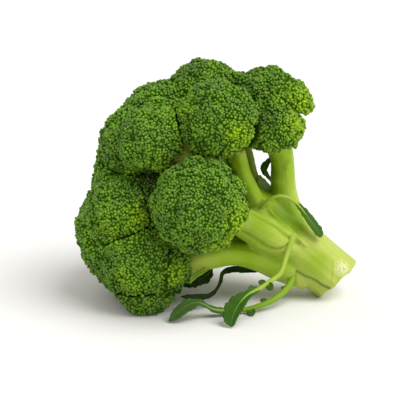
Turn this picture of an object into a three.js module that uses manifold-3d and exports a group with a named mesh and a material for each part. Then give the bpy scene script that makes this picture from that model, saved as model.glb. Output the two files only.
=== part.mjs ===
// A head of broccoli as cut for market. It lies on the cut edge of its stalk and on its lowest
// florets. Units are millimetres, +Z is up, +X points to the cut end of the stalk, and the
// origin is on the table under the middle of the head.
//
// The stalk forks into limbs, and the limbs into the twigs that carry the florets. A floret is a
// dome of sprigs, and its surface is covered by buds. The buds are raised larger than life here.

import * as THREE from "three";
import { ConvexHull } from "three/addons/math/ConvexHull.js";
import Module from "manifold-3d";

const wasm = await Module();
wasm.setup();

// ---- Driving dimensions ----

const CLEARANCE = 0.35; // left between two pieces that touch
const FINEST = 0.06; // detail below this is merged after a cut
const BUD_PITCH = 8.2; // from one raised bud to the next
const BUD_RISE = 2.1; // from the hollow between buds to a bud's top
const UNDERSIDE_PITCH = 11; // spacing of points on the smooth underside of a floret
const DOME_EDGE_DEG = 112; // buds cover a floret as far as this from its top
const BLEND = 3.5; // how softly two florets run together, unless one has a value of its own
const BLEND_REACH = 8; // florets this far apart still press on each other
const PITCH_JITTER = 0.14; // how far a bud strays from the even pattern, as a share of the pitch
const SEED = 7;

// A sprig's dome is this wide on a floret of radius r: SPRIG_BASE + SPRIG_SHARE * r.
const SPRIG_BASE = 2.4;
const SPRIG_SHARE = 0.25;
const SPRIG_SPACING = 1.18; // from sprig to sprig, as a share of a sprig's radius

// Florets without a facing of their own look away from this point, where the limbs part.
const FORK = new THREE.Vector3(34, 0, 46);

// ---- The stalk: each limb is a route and its radius at even steps along that route ----

const LIMBS = {
  trunk: {
    route: [[88, 0, 0], [75, 0, 10], [63, 0, 20], [50, 0, 31], [36, 0, 42], [14, 0, 58], [-14, 0, 71]],
    radii: [16, 16, 16.2, 16.6, 16.4, 10, 6],
    sides: 14,
    steps: 11,
  },
  right: {
    route: [[60, 1, 24], [51, 2, 39], [43.5, 1, 53], [41, 0, 66], [40, -1, 84], [38, -2, 98]],
    radii: [11, 10.8, 9.2, 7.2, 6.6, 6.8],
    sides: 10,
    steps: 7,
  },
  middle: {
    route: [
      [54, -12.5, 36], [40, -11.5, 48], [32, -9, 54.5], [25, -8.5, 60.5], [21, -11, 69],
      [16.5, -15, 80], [13, -19.5, 95],
    ],
    radii: [3, 4.4, 5.2, 5.3, 4.9, 4.5, 4.4],
    sides: 8,
    steps: 8,
  },
  crest: {
    route: [[44, 6, 40], [37, 6, 51], [31.5, 6, 60], [26.5, 7, 67], [23.5, 8, 75], [20, 12, 88], [12, 14, 104]],
    radii: [4, 3, 2.4, 2.3, 2.4, 2.7, 3],
    sides: 6,
    steps: 8,
  },
  front: {
    route: [[50, 2, 30], [43, -8, 35], [30, -17, 43.5], [16, -28, 54], [5, -37, 61]],
    radii: [9, 11, 10.4, 9, 8],
    sides: 10,
    steps: 7,
  },
  lower: {
    route: [[55, -3, 13.5], [40, -8, 20], [27, -13, 27], [11, -19, 32.5], [-3, -24, 31.5], [-17, -27, 28]],
    radii: [9, 8.6, 7.6, 7.3, 6.6],
    sides: 9,
    steps: 7,
  },
  back: {
    route: [[56, 4, 24], [42, 11, 34], [27, 22, 46], [12, 33, 58]],
    radii: [10, 10, 9.4, 8.4],
    sides: 9,
    steps: 5,
  },
  back_upper: {
    route: [[50, 6, 34], [33, 14, 50], [16, 22, 68], [12, 28, 88]],
    radii: [8, 7.2, 6.4, 6],
    sides: 8,
    steps: 5,
  },
  back_lower: {
    route: [[54, 4, 14], [38, 12, 20], [20, 20, 26], [2, 25, 29], [-16, 28, 29]],
    radii: [8.5, 8, 6.8, 6.2, 6],
    sides: 8,
    steps: 6,
  },
};

// ---- The florets: the middle and radius of each dome, the limb it grows from, and how far
// along that limb. A radius for the twig and a facing are given only where the rule differs. ----

const FLORETS = [
  {
    name: "front", at: [-9, -46, 69], size: 28.2, limb: "front", fork: 0.8, twig: 8, blend: 0.8,
    faces: [-0.4, -0.85, 0.35],
  },
  {
    name: "upper_front", at: [1, -23, 112.2], size: 24.6, limb: "middle", fork: 0.8, twig: 4.6, blend: 2,
    faces: [-0.25, -0.5, 0.8],
  },
  {
    name: "right", at: [33.8, -10.5, 105], size: 19, limb: "right", fork: 0.8, twig: 6.6, blend: 2,
    faces: [-0.15, -0.34, 0.93],
  },
  { name: "right_crown", at: [31.3, 10, 119.6], size: 19.8, limb: "right", fork: 0.8, twig: 5.4 },
  { name: "right_tip", at: [45.2, 0, 119.4], size: 13.9, limb: "right", fork: 0.85, twig: 3.6, blend: 2 },
  { name: "crest", at: [-6.5, 14, 122.1], size: 21.6, limb: "crest", fork: 0.9, twig: 3.4 },
  { name: "crest_left", at: [-32, 4, 106.4], size: 25.2, limb: "trunk", fork: 0.72 },
  {
    name: "mid_left", at: [-35.5, -23, 102], size: 20.6, limb: "trunk", fork: 0.7, blend: 2.5,
    faces: [-0.55, -0.7, 0.45],
  },
  { name: "brow", at: [-45.5, -2, 93.3], size: 24.4, limb: "trunk", fork: 0.85, blend: 2.5 },
  { name: "temple", at: [-53.4, -2, 73], size: 19.8, limb: "trunk", fork: 0.85 },
  {
    name: "cheek", at: [-53.5, -20.5, 59], size: 22.6, limb: "trunk", fork: 0.8, blend: 2,
    faces: [-0.75, -0.65, 0.1],
  },
  {
    name: "inner_front", at: [-31, -17, 64], size: 21.4, limb: "trunk", fork: 0.7, blend: 1,
    faces: [-0.5, -0.85, 0.1],
  },
  { name: "low_left", at: [-58.4, -5, 43], size: 26, limb: "trunk", fork: 0.95 },
  {
    name: "low_front", at: [-41.5, -27, 31], size: 24.6, limb: "lower", fork: 0.85, twig: 5.4,
    faces: [-0.72, -0.68, -0.1],
  },
  {
    name: "foot_front", at: [-39.8, -29.5, 14.3], size: 16.6, limb: "lower", fork: 0.9,
    faces: [-0.4, -0.35, -0.85],
  },
  { name: "chin", at: [-26.5, -34, 29.5], size: 13, limb: "lower", fork: 0.75, faces: [-0.1, -0.8, -0.6] },
  { name: "back", at: [-10, 45.2, 71], size: 28.7, limb: "back", fork: 0.8, twig: 7.4 },
  { name: "back_upper", at: [15, 29, 106], size: 26.7, limb: "back_upper", fork: 0.8, twig: 5.6 },
  { name: "back_left", at: [-36, 28, 91], size: 25.5, limb: "trunk", fork: 0.75 },
  { name: "back_cheek", at: [-50, 27, 58], size: 27, limb: "trunk", fork: 0.85 },
  { name: "low_back", at: [-40, 28, 32], size: 24.5, limb: "back_lower", fork: 0.85, twig: 5.4 },
  {
    name: "foot_back", at: [-34, 31, 16], size: 18.6, limb: "back_lower", fork: 0.85,
    faces: [-0.3, 0.35, -0.88],
  },
  { name: "keel", at: [-51.5, -2, 28], size: 25.5, limb: "trunk", fork: 0.9, faces: [-0.5, 0, -0.85] },
];

// ---- The leaves: the route of the midrib from the stalk to the tip, the petiole's radius, the
// share of the route where the blade begins, the half widths of the blade at even steps along it
// on side 1 and on side -1, and the way its upper side faces. A lobe stands on the petiole. ----

const LEAVES = [
  {
    name: "leaf_front",
    route: [
      [46, -11, 41], [44.5, -16, 36], [42.5, -23, 31], [38, -33, 24.6], [32, -40, 22],
      [25, -45, 18.8], [18.5, -49, 16.5], [14, -53, 13], [10.5, -57, 7.7], [8.5, -60, 1.2],
    ],
    petiole: 1.9,
    bladeFrom: 0.57,
    widths: [[1, 2, 2.8, 3.8, 4.6, 4.2, 3, 2.2], [1, 4.6, 3, 5.4, 7.6, 7.6, 6.4, 3.4]],
    faces: [-0.35, -0.65, 0.66],
    lobes: [{ along: 0.5, side: 1, length: 5.6 }, { along: 0.52, side: -1, length: 4.6 }],
  },
  {
    name: "leaf_floor",
    route: [
      [48.5, -8, 19], [45.5, -16, 13.6], [41, -22, 9.6], [35, -27, 6.6], [28.5, -31, 4.6],
      [20.5, -34, 3], [12, -36, 2.6], [4, -38.5, 3], [-2, -41, 5], [-6.5, -43.5, 8.6],
      [-10.5, -45.5, 10.6], [-15, -47.5, 10], [-20.5, -49.5, 6.8], [-27, -51, 1.2],
    ],
    petiole: 2,
    bladeFrom: 0.52,
    widths: [[1, 2.8, 3, 2, 3.8, 5.2, 4.6, 1.2], [1, 2.4, 3.2, 2.2, 3.6, 4.8, 4, 1.2]],
    faces: [-0.1, -0.45, 0.9],
    lobes: [
      { along: 0.16, side: -1, length: 3.4 },
      { along: 0.33, side: -1, length: 4.6 },
      { along: 0.44, side: 1, length: 6 },
    ],
  },
  {
    name: "leaf_under",
    route: [
      [34, -10, 21.5], [25.7, -14, 20.6], [18, -16, 21.6], [10, -18, 22.2], [4.5, -20.5, 20.6],
      [3, -23, 15.5], [-2, -27, 9.6], [-11, -31, 9], [-20, -33.5, 10.4],
    ],
    petiole: 1.2,
    bladeFrom: 0.12,
    widths: [[1, 1.9, 2.4, 1.8, 1.6, 1.4, 1.6, 2, 1.8, 0.5], [1, 1.7, 2, 1.8, 1.6, 1.4, 1.6, 2, 1.8, 0.5]],
    faces: [0.1, -0.8, 0.6],
    lobes: [],
  },
  {
    name: "leaf_shade",
    route: [[0, -17, 28], [-1.5, -18.5, 22.5], [-5, -20.5, 18.6], [-11, -22.5, 16.8], [-17.5, -25, 15]],
    petiole: 1,
    bladeFrom: 0.2,
    widths: [[0.8, 3.2, 4.2, 3.6, 4, 3, 1], [0.8, 2.8, 4, 4.2, 3.6, 3, 1]],
    faces: [0.2, -0.85, 0.5],
    lobes: [],
  },
  {
    name: "leaf_saddle",
    route: [
      [26.5, -12, 57], [29, -14, 61], [33, -15.5, 65], [38, -16.5, 66.8], [43.5, -16, 65.4],
      [48.5, -14.5, 61], [53, -13.5, 55.5], [58, -13.5, 48.6], [63.5, -13, 41],
    ],
    petiole: 1.2,
    bladeFrom: 0.5,
    widths: [[1, 2.4, 3.2, 3.6, 3.8, 3.8, 3], [1, 2.2, 3, 3.4, 3.6, 3.6, 2.6]],
    faces: [0.55, -0.6, 0.5],
    lobes: [],
  },
  {
    name: "leaf_inner",
    route: [[39, 9.5, 60], [37, 9.5, 65], [33.5, 8.5, 70.5], [29.5, 6, 77.5], [31.5, 4.5, 82], [34, 3, 86]],
    petiole: 1,
    bladeFrom: 0.35,
    widths: [[0.8, 1.4, 2.2, 2.8, 1.8, 0.5], [0.8, 1.2, 2, 2.4, 1.6, 0.5]],
    faces: [-0.5, -0.8, 0.2],
    lobes: [],
  },
  {
    name: "leaf_fold",
    route: [[42, 0, 54], [36, 1, 60], [31.5, 1.5, 66], [28, 1.5, 71.5], [26.5, 1.5, 75]],
    petiole: 1.2,
    bladeFrom: 0.15,
    widths: [[2, 4, 4.6, 3.6, 1], [2, 3.4, 3.8, 3, 1]],
    faces: [-0.5, -0.8, 0.3],
    lobes: [],
  },
  {
    name: "leaf_bract",
    route: [[-1, -25, 29], [-4.5, -30, 26.6], [-8.5, -36, 26.2], [-12.5, -41.5, 25], [-15, -44.5, 22]],
    petiole: 1.2,
    bladeFrom: 0.2,
    widths: [[0.8, 2, 2.8, 2.4, 0.5], [0.8, 2.2, 3, 2.4, 0.5]],
    faces: [-0.2, -0.7, 0.6],
    lobes: [],
  },
];

const TWIG_SHARE = 0.26; // a twig's radius, as a share of its floret's
const TWIG_FLARE = 1.4; // how much a twig widens where it enters the floret
const TWIG_DEPTH = 0.3; // where a twig ends: this share of the radius short of the floret's middle
const CUT = { through: [74.3, 0, 9.9], faces: [0.69, -0.15, -0.71] }; // the knife's cut across the trunk
const RIBS = { count: 5, depth: 0.035 }; // the low ribs that run along the stalk
const BLADE_THICKNESS = 0.8;
const TEETH = 8; // along each side of a blade
const TOOTH_DEPTH = 0.07; // half the depth of a tooth, as a share of the half width

const COLOURS = { stalk: 0xa8bb42, floret: 0x4e6e21, leaf: 0x50712f, bract: 0x8aa63a };

// ---- Helpers ----

const vector = (p) => new THREE.Vector3(...p);
const Z_AXIS = new THREE.Vector3(0, 0, 1);
const GOLDEN_ANGLE = Math.PI * (3 - Math.sqrt(5));

// A repeatable stream of numbers from 0 to 1.
function seeded(seed) {
  let state = seed >>> 0;
  return () => {
    state = (Math.imul(state, 1664525) + 1013904223) >>> 0;
    return state / 2 ** 32;
  };
}

// The value of a list at u from 0 to 1, in straight lines between its entries.
function along(list, u) {
  const place = THREE.MathUtils.clamp(u, 0, 1) * (list.length - 1);
  const i = Math.min(Math.floor(place), list.length - 2);
  return THREE.MathUtils.lerp(list[i], list[i + 1], place - i);
}

function solidFrom(points, faces) {
  const vertProperties = new Float32Array(points.length * 3);
  points.forEach((p, i) => p.toArray(vertProperties, 3 * i));
  const triVerts = new Uint32Array(faces.flat());
  return new wasm.Manifold(new wasm.Mesh({ numProp: 3, vertProperties, triVerts }));
}

// Joins rings of points into a closed skin with a fan at each end. The quad that follows point k
// of a ring is split along its other diagonal where flip(k) is true.
function loft(rings, flip = () => false) {
  const n = rings[0].length;
  const points = rings.flat();
  const faces = [];
  for (let i = 0; i + 1 < rings.length; i++) {
    for (let k = 0; k < n; k++) {
      const a = i * n + k;
      const b = i * n + ((k + 1) % n);
      if (flip(k)) faces.push([a, b, a + n], [b, b + n, a + n]);
      else faces.push([a, b, b + n], [a, b + n, a + n]);
    }
  }
  const last = (rings.length - 1) * n;
  for (const [start, ring] of [[0, rings[0]], [last, rings.at(-1)]]) {
    const middle = ring.reduce((sum, p) => sum.add(p), new THREE.Vector3()).divideScalar(n);
    points.push(middle);
    for (let k = 0; k < n; k++) {
      const a = start + k;
      const b = start + ((k + 1) % n);
      faces.push(start === 0 ? [points.length - 1, b, a] : [points.length - 1, a, b]);
    }
  }
  return solidFrom(points, faces);
}

// A round stem along a curve, swollen by at least grow. radiusAt gives its radius at u from 0 to
// 1, and low ribs run along it. The ends swell twice as much, because they may flare.
function stem(curve, radiusAt, sides, steps, grow) {
  const frames = curve.computeFrenetFrames(steps, false);
  const rings = frames.tangents.map((tangent, i) => {
    const end = i === 0 ? -1 : i === steps ? 1 : 0;
    const centre = curve.getPointAt(i / steps).addScaledVector(tangent, end * grow);
    return Array.from({ length: sides }, (_, k) => {
      const angle = (2 * Math.PI * k) / sides;
      const rib = 1 + RIBS.depth * Math.cos(RIBS.count * angle);
      const r = radiusAt(i / steps) * rib + (1 + Math.abs(end)) * grow;
      return centre
        .clone()
        .addScaledVector(frames.normals[i], r * Math.cos(angle))
        .addScaledVector(frames.binormals[i], r * Math.sin(angle));
    });
  });
  return loft(rings);
}

const largest = (solid) => solid.decompose().reduce((a, b) => (b.volume() > a.volume() ? b : a));

// ---- The stalk ----

const limbCurve = (limb) => new THREE.CatmullRomCurve3(limb.route.map(vector), false, "centripetal");

const facing = (floret) =>
  floret.faces ? vector(floret.faces).normalize() : vector(floret.at).sub(FORK).normalize();

// A twig leaves its limb along the limb and enters its floret from behind.
function twigCurve(floret) {
  const limb = limbCurve(LIMBS[floret.limb]);
  const start = limb.getPointAt(floret.fork);
  const out = facing(floret);
  const end = vector(floret.at).addScaledVector(out, -TWIG_DEPTH * floret.size);
  const span = start.distanceTo(end);
  return new THREE.CubicBezierCurve3(
    start,
    start.clone().addScaledVector(limb.getTangentAt(floret.fork), 0.35 * span),
    end.clone().addScaledVector(out, -0.4 * span),
    end,
  );
}

function twig(floret, grow) {
  const thick = along(LIMBS[floret.limb].radii, floret.fork);
  const thin = floret.twig ?? TWIG_SHARE * floret.size;
  const radii = [Math.min(0.85 * thick, 1.3 * thin), 1.1 * thin, thin, thin, TWIG_FLARE * thin];
  return stem(twigCurve(floret), (u) => along(radii, u), 6, 4, grow);
}

// The trunk, its limbs and the twigs in one body, swollen all round by grow.
function stalkSolid(grow) {
  const limbs = Object.values(LIMBS).map((limb) =>
    stem(limbCurve(limb), (u) => along(limb.radii, u), limb.sides, limb.steps, grow),
  );
  const twigs = FLORETS.map((floret) => twig(floret, grow));
  const joined = wasm.Manifold.union([...limbs, ...twigs]);
  const cut = vector(CUT.faces).normalize();
  const kept = joined.trimByPlane(cut.clone().negate().toArray(), -cut.dot(vector(CUT.through)) - grow);
  return grow ? kept : kept.trimByPlane([0, 0, 1], 0).simplify(FINEST);
}

// ---- The florets ----

// Directions spread by the golden angle over the band of a sphere between two heights.
function spiral(count, top, bottom) {
  return Array.from({ length: count }, (_, i) => {
    const z = top + ((bottom - top) * (i + 0.5)) / count;
    const s = Math.sqrt(1 - z * z);
    return new THREE.Vector3(s * Math.cos(i * GOLDEN_ANGLE), s * Math.sin(i * GOLDEN_ANGLE), z);
  });
}

const bandCount = (radius, top, bottom, pitch) =>
  Math.round((2 * Math.PI * radius ** 2 * (top - bottom)) / (0.866 * pitch ** 2));

const EDGE = Math.cos(THREE.MathUtils.degToRad(DOME_EDGE_DEG));

// How far a floret of this size reaches in a direction of its own frame, in which +Z is its top:
// out to the domes of its sprigs, and at least to the rounded underside that carries them.
function floretReach(size) {
  const sprig = SPRIG_BASE + SPRIG_SHARE * size;
  const ring = size - sprig;
  const sprigs = spiral(bandCount(ring, 1, EDGE, SPRIG_SPACING * sprig), 1, EDGE);
  return (direction) => {
    const under = THREE.MathUtils.smoothstep(-direction.z, -EDGE, 1);
    let reach = size * (0.8 - 0.28 * under);
    for (const u of sprigs) {
      const cos = u.dot(direction);
      const inside = sprig ** 2 - ring ** 2 * (1 - cos * cos);
      if (cos > 0 && inside > 0) reach = Math.max(reach, ring * cos + Math.sqrt(inside));
    }
    return reach;
  };
}

// The triangles of a sphere through these directions, each as three of their numbers.
function sphereTriangles(directions) {
  const number = new Map(directions.map((p, i) => [p, i]));
  return new ConvexHull().setFromPoints(directions).faces.map((face) => {
    const corners = [face.edge.prev, face.edge, face.edge.next];
    return corners.map((edge) => number.get(edge.head().point));
  });
}

// A closed skin with a raised top at each of the first budCount directions. Between the tops it
// dips to the middle of each triangle, so every bud is a low facetted cone on its own cell.
function buddedSkin(directions, budCount, reach, riseAt) {
  const triangles = sphereTriangles(directions);
  const budded = (t) => t.every((i) => i < budCount);
  const points = directions.map((u) => u.clone().multiplyScalar(reach(u)));
  const hollows = triangles.map((t) => {
    if (!budded(t)) return -1;
    const u = t.reduce((sum, i) => sum.add(directions[i]), new THREE.Vector3()).normalize();
    return points.push(u.clone().multiplyScalar(reach(u) - riseAt(u))) - 1;
  });
  const across = new Map();
  triangles.forEach((t, n) => t.forEach((a, k) => across.set(`${a} ${t[(k + 1) % 3]}`, n)));
  const facesOut = (a, b, c) => {
    const [p, q, r] = [a, b, c].map((i) => points[i].clone().normalize());
    return q.sub(p).cross(r.sub(p)).dot(p) > 0;
  };
  const faces = [];
  triangles.forEach((t, n) => {
    const m = hollows[n];
    if (m < 0) {
      faces.push(t);
      return;
    }
    t.forEach((a, k) => {
      const b = t[(k + 1) % 3];
      const other = hollows[across.get(`${b} ${a}`)];
      const dips = other >= 0 && facesOut(a, other, m) && facesOut(b, m, other);
      if (!dips) faces.push([a, b, m]);
      else if (a < b) faces.push([a, other, m], [b, m, other]);
    });
  });
  return solidFrom(points, faces);
}

// Near its neighbours a floret swells to fill the notch between their domes.
function swelling(floret, point) {
  const others = FLORETS.filter((other) => other !== floret);
  return others.reduce((sum, other) => {
    const softness = Math.min(floret.blend ?? BLEND, other.blend ?? BLEND);
    const gap = Math.max(point.distanceTo(vector(other.at)) - other.size, -2);
    return sum + softness * Math.log1p(Math.exp(-gap / softness));
  }, 0);
}

function floretSolid(floret, seed) {
  const random = seeded(seed);
  const stray = (u) => {
    const shift = new THREE.Vector3(random() - 0.5, random() - 0.5, random() - 0.5);
    return u.addScaledVector(shift, (2 * PITCH_JITTER * BUD_PITCH) / floret.size).normalize();
  };
  const face = 0.93 * floret.size;
  const buds = spiral(bandCount(face, 1, EDGE, BUD_PITCH), 1, EDGE).map(stray);
  const under = spiral(bandCount(0.7 * floret.size, EDGE, -1, UNDERSIDE_PITCH) + 3, EDGE - 0.06, -1);
  const turn = new THREE.Quaternion().setFromUnitVectors(Z_AXIS, facing(floret));
  const place = new THREE.Matrix4().compose(vector(floret.at), turn, new THREE.Vector3(1, 1, 1));
  const reach = floretReach(floret.size);
  const swollenReach = (u) => {
    const out = reach(u);
    const share = THREE.MathUtils.smoothstep(u.z, EDGE, 0.4);
    return out + share * swelling(floret, u.clone().multiplyScalar(out).applyMatrix4(place));
  };
  // Buds that would be under the table are squashed flat there.
  const height = (u) => u.clone().multiplyScalar(swollenReach(u)).applyMatrix4(place).z;
  const riseAt = (u) => (height(u) < 0 ? 0 : BUD_RISE);
  return buddedSkin([...buds, ...under], buds.length, swollenReach, riseAt).transform(place.elements);
}

// Two florets that press on each other part along the plane through the circle where their
// domes meet, and the lowest ones are pressed flat by the table.
function pressed(floret, solid) {
  let shape = solid.trimByPlane([0, 0, 1], 0);
  for (const other of FLORETS) {
    const apart = vector(floret.at).sub(vector(other.at));
    const distance = apart.length();
    if (other === floret || distance > floret.size + other.size + BLEND_REACH) continue;
    apart.normalize();
    const toPlane = (distance ** 2 + floret.size ** 2 - other.size ** 2) / (2 * distance);
    const offset = apart.dot(vector(floret.at)) - toPlane + CLEARANCE / 2;
    shape = shape.trimByPlane(apart.toArray(), offset);
  }
  return shape;
}

// ---- The leaves ----

// A strip along a curve with its upper side turned to faces. At u from 0 to 1 along it, widthAt
// gives the half width at a column, and liftAt how far the two faces stand from its middle.
const COLUMNS = [1, 0.5, 0, -0.5, -1];

function strip(curve, stations, faces, widthAt, liftAt) {
  const upper = vector(faces);
  const rings = stations.map((u) => {
    const tangent = curve.getTangentAt(u);
    const side = upper.clone().cross(tangent).normalize();
    const normal = tangent.clone().cross(side);
    const skin = (column, sign) => {
      const width = widthAt(u, column);
      const cup = 0.14 * width * column * column + 0.05 * width * column * Math.sin(25 * u);
      return curve
        .getPointAt(u)
        .addScaledVector(side, width * column)
        .addScaledVector(normal, cup + sign * liftAt(u, column));
    };
    return [...COLUMNS.map((c) => skin(c, 1)), ...COLUMNS.map((c) => skin(c, -1)).reverse()];
  });
  return loft(rings, (k) => k >= COLUMNS.length);
}

// A small round lobe that stands out from the petiole.
function lobeSolid(curve, leaf, lobe) {
  const root = curve.getPointAt(lobe.along);
  const tangent = curve.getTangentAt(lobe.along);
  const side = vector(leaf.faces).cross(tangent).normalize().multiplyScalar(lobe.side);
  const end = root.clone().addScaledVector(side, lobe.length).addScaledVector(tangent, 0.35 * lobe.length);
  const width = (u) => Math.max(0.8, 0.42 * lobe.length * Math.sin(Math.PI * (0.15 + 0.75 * u)));
  const steps = [0, 0.25, 0.5, 0.75, 1];
  return strip(new THREE.LineCurve3(root, end), steps, leaf.faces, width, () => BLADE_THICKNESS / 2);
}

// The petiole is round. Along the blade it thins to a midrib, and the margin is cut into teeth.
function leafSolid(leaf) {
  const curve = new THREE.CatmullRomCurve3(leaf.route.map(vector), false, "centripetal");
  const toBlade = (u) => Math.max(0, (u - leaf.bladeFrom) / (1 - leaf.bladeFrom));
  const rib = (u) => leaf.petiole * (u < leaf.bladeFrom ? 1.15 - 0.3 * u : 0.85 - 0.5 * toBlade(u));
  const width = (u, column) => {
    if (u < leaf.bladeFrom) return rib(u);
    const t = toBlade(u);
    const tooth = 1 - TOOTH_DEPTH * (1 - Math.cos(2 * Math.PI * TEETH * t));
    return Math.max(along(leaf.widths[column < 0 ? 1 : 0], t) * tooth, rib(u));
  };
  const lift = (u, column) => {
    const round = rib(u) * Math.sqrt(1 - (0.94 * column) ** 2);
    const flat = column === 0 ? rib(u) : BLADE_THICKNESS / 2;
    return THREE.MathUtils.lerp(round, flat, THREE.MathUtils.smoothstep(toBlade(u), 0, 0.15));
  };
  const petioleSteps = Math.ceil(8 * leaf.bladeFrom);
  const bladeSteps = 2 * TEETH;
  const even = (from, to, steps) =>
    Array.from({ length: steps + 1 }, (_, i) => THREE.MathUtils.lerp(from, to, i / steps));
  const stations = [...even(0, leaf.bladeFrom, petioleSteps), ...even(leaf.bladeFrom, 1, bladeSteps).slice(1)];
  const whole = strip(curve, stations, leaf.faces, width, lift);
  const lobes = leaf.lobes.map((lobe) => lobeSolid(curve, leaf, lobe));
  return wasm.Manifold.union([whole, ...lobes]).trimByPlane([0, 0, 1], 0);
}

// ---- The head ----

function meshOf(name, solid, colour, roughness) {
  const { vertProperties, triVerts } = solid.getMesh();
  const geometry = new THREE.BufferGeometry()
    .setAttribute("position", new THREE.BufferAttribute(vertProperties, 3))
    .setIndex(new THREE.BufferAttribute(triVerts, 1));
  geometry.computeVertexNormals();
  const material = new THREE.MeshStandardMaterial({ color: colour, roughness, metalness: 0 });
  const mesh = new THREE.Mesh(geometry, material);
  mesh.name = name;
  return mesh;
}

const stalk = stalkSolid(0);
const room = stalkSolid(CLEARANCE); // what the stalk keeps clear of florets and leaves

const head = new THREE.Group();
head.add(meshOf("stalk", stalk, COLOURS.stalk, 0.45));
FLORETS.forEach((floret, i) => {
  const whole = pressed(floret, floretSolid(floret, SEED + i));
  const solid = largest(whole.subtract(room).simplify(FINEST));
  head.add(meshOf(`floret_${floret.name}`, solid, COLOURS.floret, 0.8));
});
for (const leaf of LEAVES) {
  const colour = leaf.name === "leaf_bract" ? COLOURS.bract : COLOURS.leaf;
  const solid = largest(leafSolid(leaf).subtract(room).simplify(FINEST));
  head.add(meshOf(leaf.name, solid, colour, 0.55));
}

export default head;
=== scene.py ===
# %% [markdown]
# # A head of broccoli
# A head of broccoli is one young flower stem, cut before it blooms. A thick stalk forks into
# limbs and the limbs into twigs, and each twig ends in a dome of green flower buds, a floret.
# Below the florets sit a few small leaves.
#
# Every place and size here is the same as in the solid model, written in millimetres. Blender
# works in metres, so lengths are multiplied by MM as they go into a mesh.

# %% Load the solid model
import math

import bpy
import numpy as np
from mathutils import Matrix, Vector, noise
from mathutils.kdtree import KDTree


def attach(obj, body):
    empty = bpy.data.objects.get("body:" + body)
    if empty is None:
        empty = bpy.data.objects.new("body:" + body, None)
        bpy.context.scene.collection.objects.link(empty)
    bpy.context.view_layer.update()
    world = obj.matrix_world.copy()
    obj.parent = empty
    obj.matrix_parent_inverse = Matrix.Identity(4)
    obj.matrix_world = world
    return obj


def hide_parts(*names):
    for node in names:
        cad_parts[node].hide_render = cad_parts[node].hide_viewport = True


MM = 0.001
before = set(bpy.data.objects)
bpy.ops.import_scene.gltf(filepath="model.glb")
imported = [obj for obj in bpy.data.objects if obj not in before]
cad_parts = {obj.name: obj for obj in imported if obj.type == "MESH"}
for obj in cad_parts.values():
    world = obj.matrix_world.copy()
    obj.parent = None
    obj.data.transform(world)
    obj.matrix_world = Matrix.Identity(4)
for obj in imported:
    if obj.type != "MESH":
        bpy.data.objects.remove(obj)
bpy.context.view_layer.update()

# %% [markdown]
# ## Helpers
# A few small things are needed all through the scene: a colour from its hex value, a shader
# node with its settings and links in one line, an object made active and alone selected,
# because an operator acts on all that is selected, and a mesh's vertices as an array.

# %% Helpers for colours, nodes and operators
def linear(hex_value):
    """An sRGB hex colour as the linear colour that shaders work in."""
    parts = [(hex_value >> shift & 255) / 255 for shift in (16, 8, 0)]
    return tuple(p / 12.92 if p <= 0.04045 else ((p + 0.055) / 1.055) ** 2.4 for p in parts) + (1,)


def add_node(material, kind, settings=None, links=None):
    """One shader node. A key of settings or links is an input's name or number, or a property."""
    made = material.node_tree.nodes.new(kind)
    for key, value in (settings or {}).items():
        if isinstance(key, int) or key in made.inputs:
            made.inputs[key].default_value = value
        else:
            setattr(made, key, value)
    for key, source in (links or {}).items():
        material.node_tree.links.new(source, made.inputs[key])
    return made


def new_material(name):
    """A material without any nodes, ready to get its own."""
    material = bpy.data.materials.new(name)
    material.use_nodes = True
    material.node_tree.nodes.clear()
    return material


def only(piece):
    """Selects this object alone, and makes it the active one."""
    if bpy.context.object and bpy.context.object.mode != "OBJECT":
        bpy.ops.object.mode_set(mode="OBJECT")
    bpy.ops.object.select_all(action="DESELECT")
    piece.select_set(True)
    bpy.context.view_layer.objects.active = piece


def corners(piece):
    """A mesh's vertices as an array, in millimetres."""
    flat = np.empty(3 * len(piece.data.vertices))
    piece.data.vertices.foreach_get("co", flat)
    return flat.reshape(-1, 3) / MM


def put_corners(piece, places):
    """Moves a mesh's vertices to these places, given in millimetres."""
    piece.data.vertices.foreach_set("co", (np.asarray(places) * MM).ravel())
    piece.data.update()


def shade_smooth(piece):
    """Shades a mesh as one rounded surface."""
    piece.data.polygons.foreach_set("use_smooth", np.ones(len(piece.data.polygons), bool))


def join(parts):
    """Joins the objects into the first of them."""
    only(parts[0])
    for part in parts[1:]:
        part.select_set(True)
    bpy.ops.object.join()


def triangle_count(pieces):
    """How many triangles these meshes have together."""
    return sum(len(face.vertices) - 2 for piece in pieces for face in piece.data.polygons)


print("helpers ready")
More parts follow.
